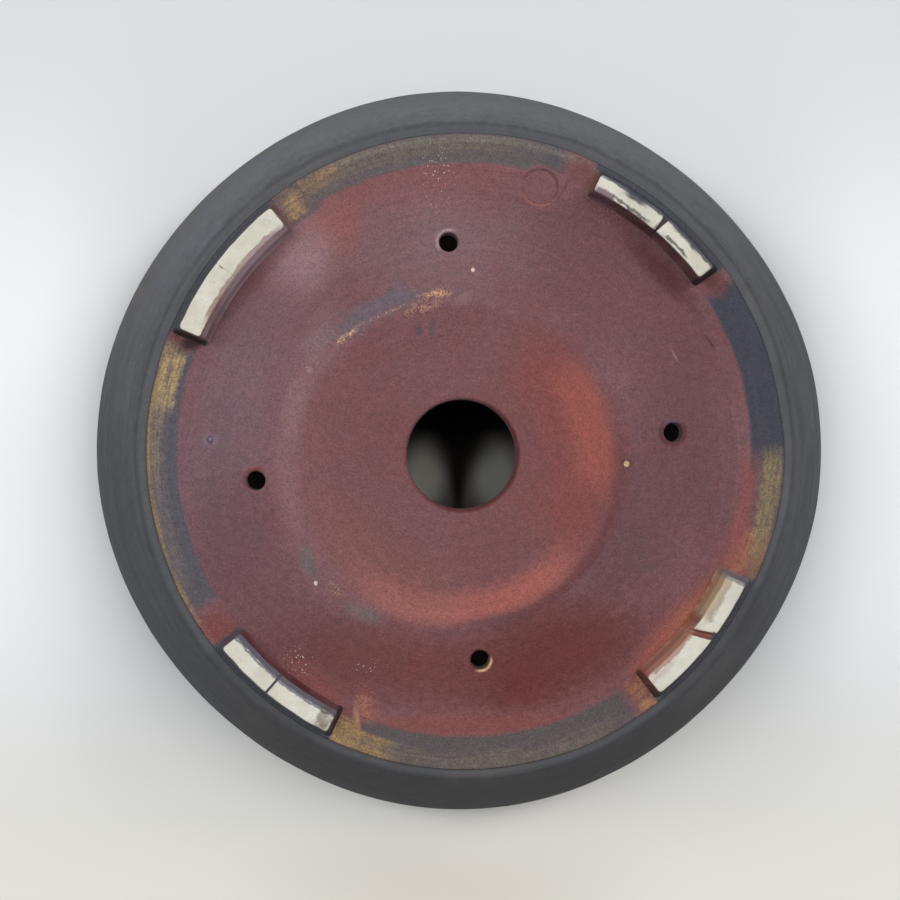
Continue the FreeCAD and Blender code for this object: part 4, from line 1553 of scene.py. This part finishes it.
# paler sides of the backdrop: painted light that lifts the lamps' shadows there
PAINTED_LIGHT_SIDES = (252, 254, 255)
PALE_BELOW = (234, 231, 223)
SHADE_BELOW = ((452, 892), 42, 14, 0, 0.9, 0.0, 0.7, (214, 206, 194))
# painted shade on the backdrop inside the pot's mouth
INSIDE_SHADE_TONE = (112, 106, 104)
INSIDE_SHADE_DARK = (100, 95, 92)
INSIDE_SHADE_EDGE = (84.0, 88.0)
INSIDE_LIGHT_AND_SHADE = [
    # what shows through the drain hole: painted shade above and in the middle, and a painted pool
    # of light on each side
    ((462, 420), 22, 7.5, 0, 0.6, 0, 1.0, (24, 23, 23)),
    ((423, 480), 5.6, 10, -10, 0.6, 0, 0.95, (182, 184, 174)),
    ((494, 478), 6, 10, 8, 0.6, 0, 0.95, (178, 180, 170)),
    ((462, 440), 8, 7, 0, 0.8, 0, 0.9, (24, 23, 23)),
    ((460, 458), 4, 8, 0, 0.8, 0, 0.8, (28, 26, 25)),
    ((458, 476), 1.8, 14, 0, 0.8, 0, 0.95, (30, 27, 26)),
]


def backdrop_colour(nodes):
    """Paler at the sides as painted light, warmer below, with a painted shadow under the pot,
    and painted shade and two painted pools of light where the pot's inside shows through its holes.
    """
    place, lumps = where(nodes)
    # paler at the sides as painted light
    beside = nodes.ramp(nodes.reckon("ABSOLUTE", place["Across"]), 80.0, 128.0)
    level = nodes.ramp(nodes.reckon("ABSOLUTE", place["Up"]), 20.0, 135.0, 1.0, 0.0)
    colour = nodes.paint(nodes.times(beside, level), srgb(*PALE), srgb(*PAINTED_LIGHT_SIDES))
    colour = nodes.paint(nodes.ramp(place["Up"], -135.0, -50.0, 1.0, 0.0), colour, srgb(*PALE_BELOW))
    colour = stained(nodes, place, lumps, colour, [SHADE_BELOW], spot=behind_mm, read=srgb)
    # painted shade and painted light where the pot's inside shows
    inside = nodes.paint(nodes.ramp(lumps["Coarse"], -1, 1), srgb(*INSIDE_SHADE_TONE), srgb(*INSIDE_SHADE_DARK))
    inside = stained(nodes, place, lumps, inside, INSIDE_LIGHT_AND_SHADE, spot=behind_mm, read=srgb)
    return nodes.paint(nodes.ramp(place["Radius"], *INSIDE_SHADE_EDGE, 1.0, 0.0), colour, inside)


def one_sided(name, front, colour):
    """A matt sheet that only the camera sees, and only from its front or its back."""
    material = bpy.data.materials.new(name)
    material.use_nodes = True
    material.node_tree.nodes.clear()
    nodes = Nodes(material.node_tree)
    matt = nodes.add("ShaderNodeBsdfDiffuse").outputs[0]
    nodes.feed(matt.node.inputs["Color"], colour(nodes) if callable(colour) else colour)
    facing = nodes.add("ShaderNodeNewGeometry").outputs["Backfacing"]
    if front:
        facing = nodes.minus(1.0, facing)
    seen = nodes.times(nodes.add("ShaderNodeLightPath").outputs["Is Camera Ray"], facing)
    clear = nodes.add("ShaderNodeBsdfTransparent").outputs[0]
    mixed = nodes.add("ShaderNodeMixShader", None, {"Fac": seen, 1: clear, 2: matt}).outputs[0]
    nodes.add("ShaderNodeOutputMaterial", None, {"Surface": mixed})
    return material


def make_sheet(name, height, half, material):
    mesh = bpy.data.meshes.new(name)
    corners = [(-half, -half), (half, -half), (half, half), (-half, half)]
    mesh.from_pydata([(x, y, height) for x, y in corners], [], [(0, 1, 2, 3)])
    mesh.materials.append(material)
    sheet = bpy.data.objects.new(name, mesh)
    bpy.context.scene.collection.objects.link(sheet)


bpy.context.view_layer.update()
camera = make_camera()
make_lamps(camera)
make_world()
backdrop_pale = one_sided("backdrop_pale", False, backdrop_colour)
make_sheet("backdrop", lip_high.z * MM, BACKDROP_HALF_M, backdrop_pale)
make_sheet("floor", 0, FLOOR_HALF_M, one_sided("floor_pale", True, srgb(*PALE)))

scene = bpy.context.scene
scene.view_settings.view_transform = "Standard"
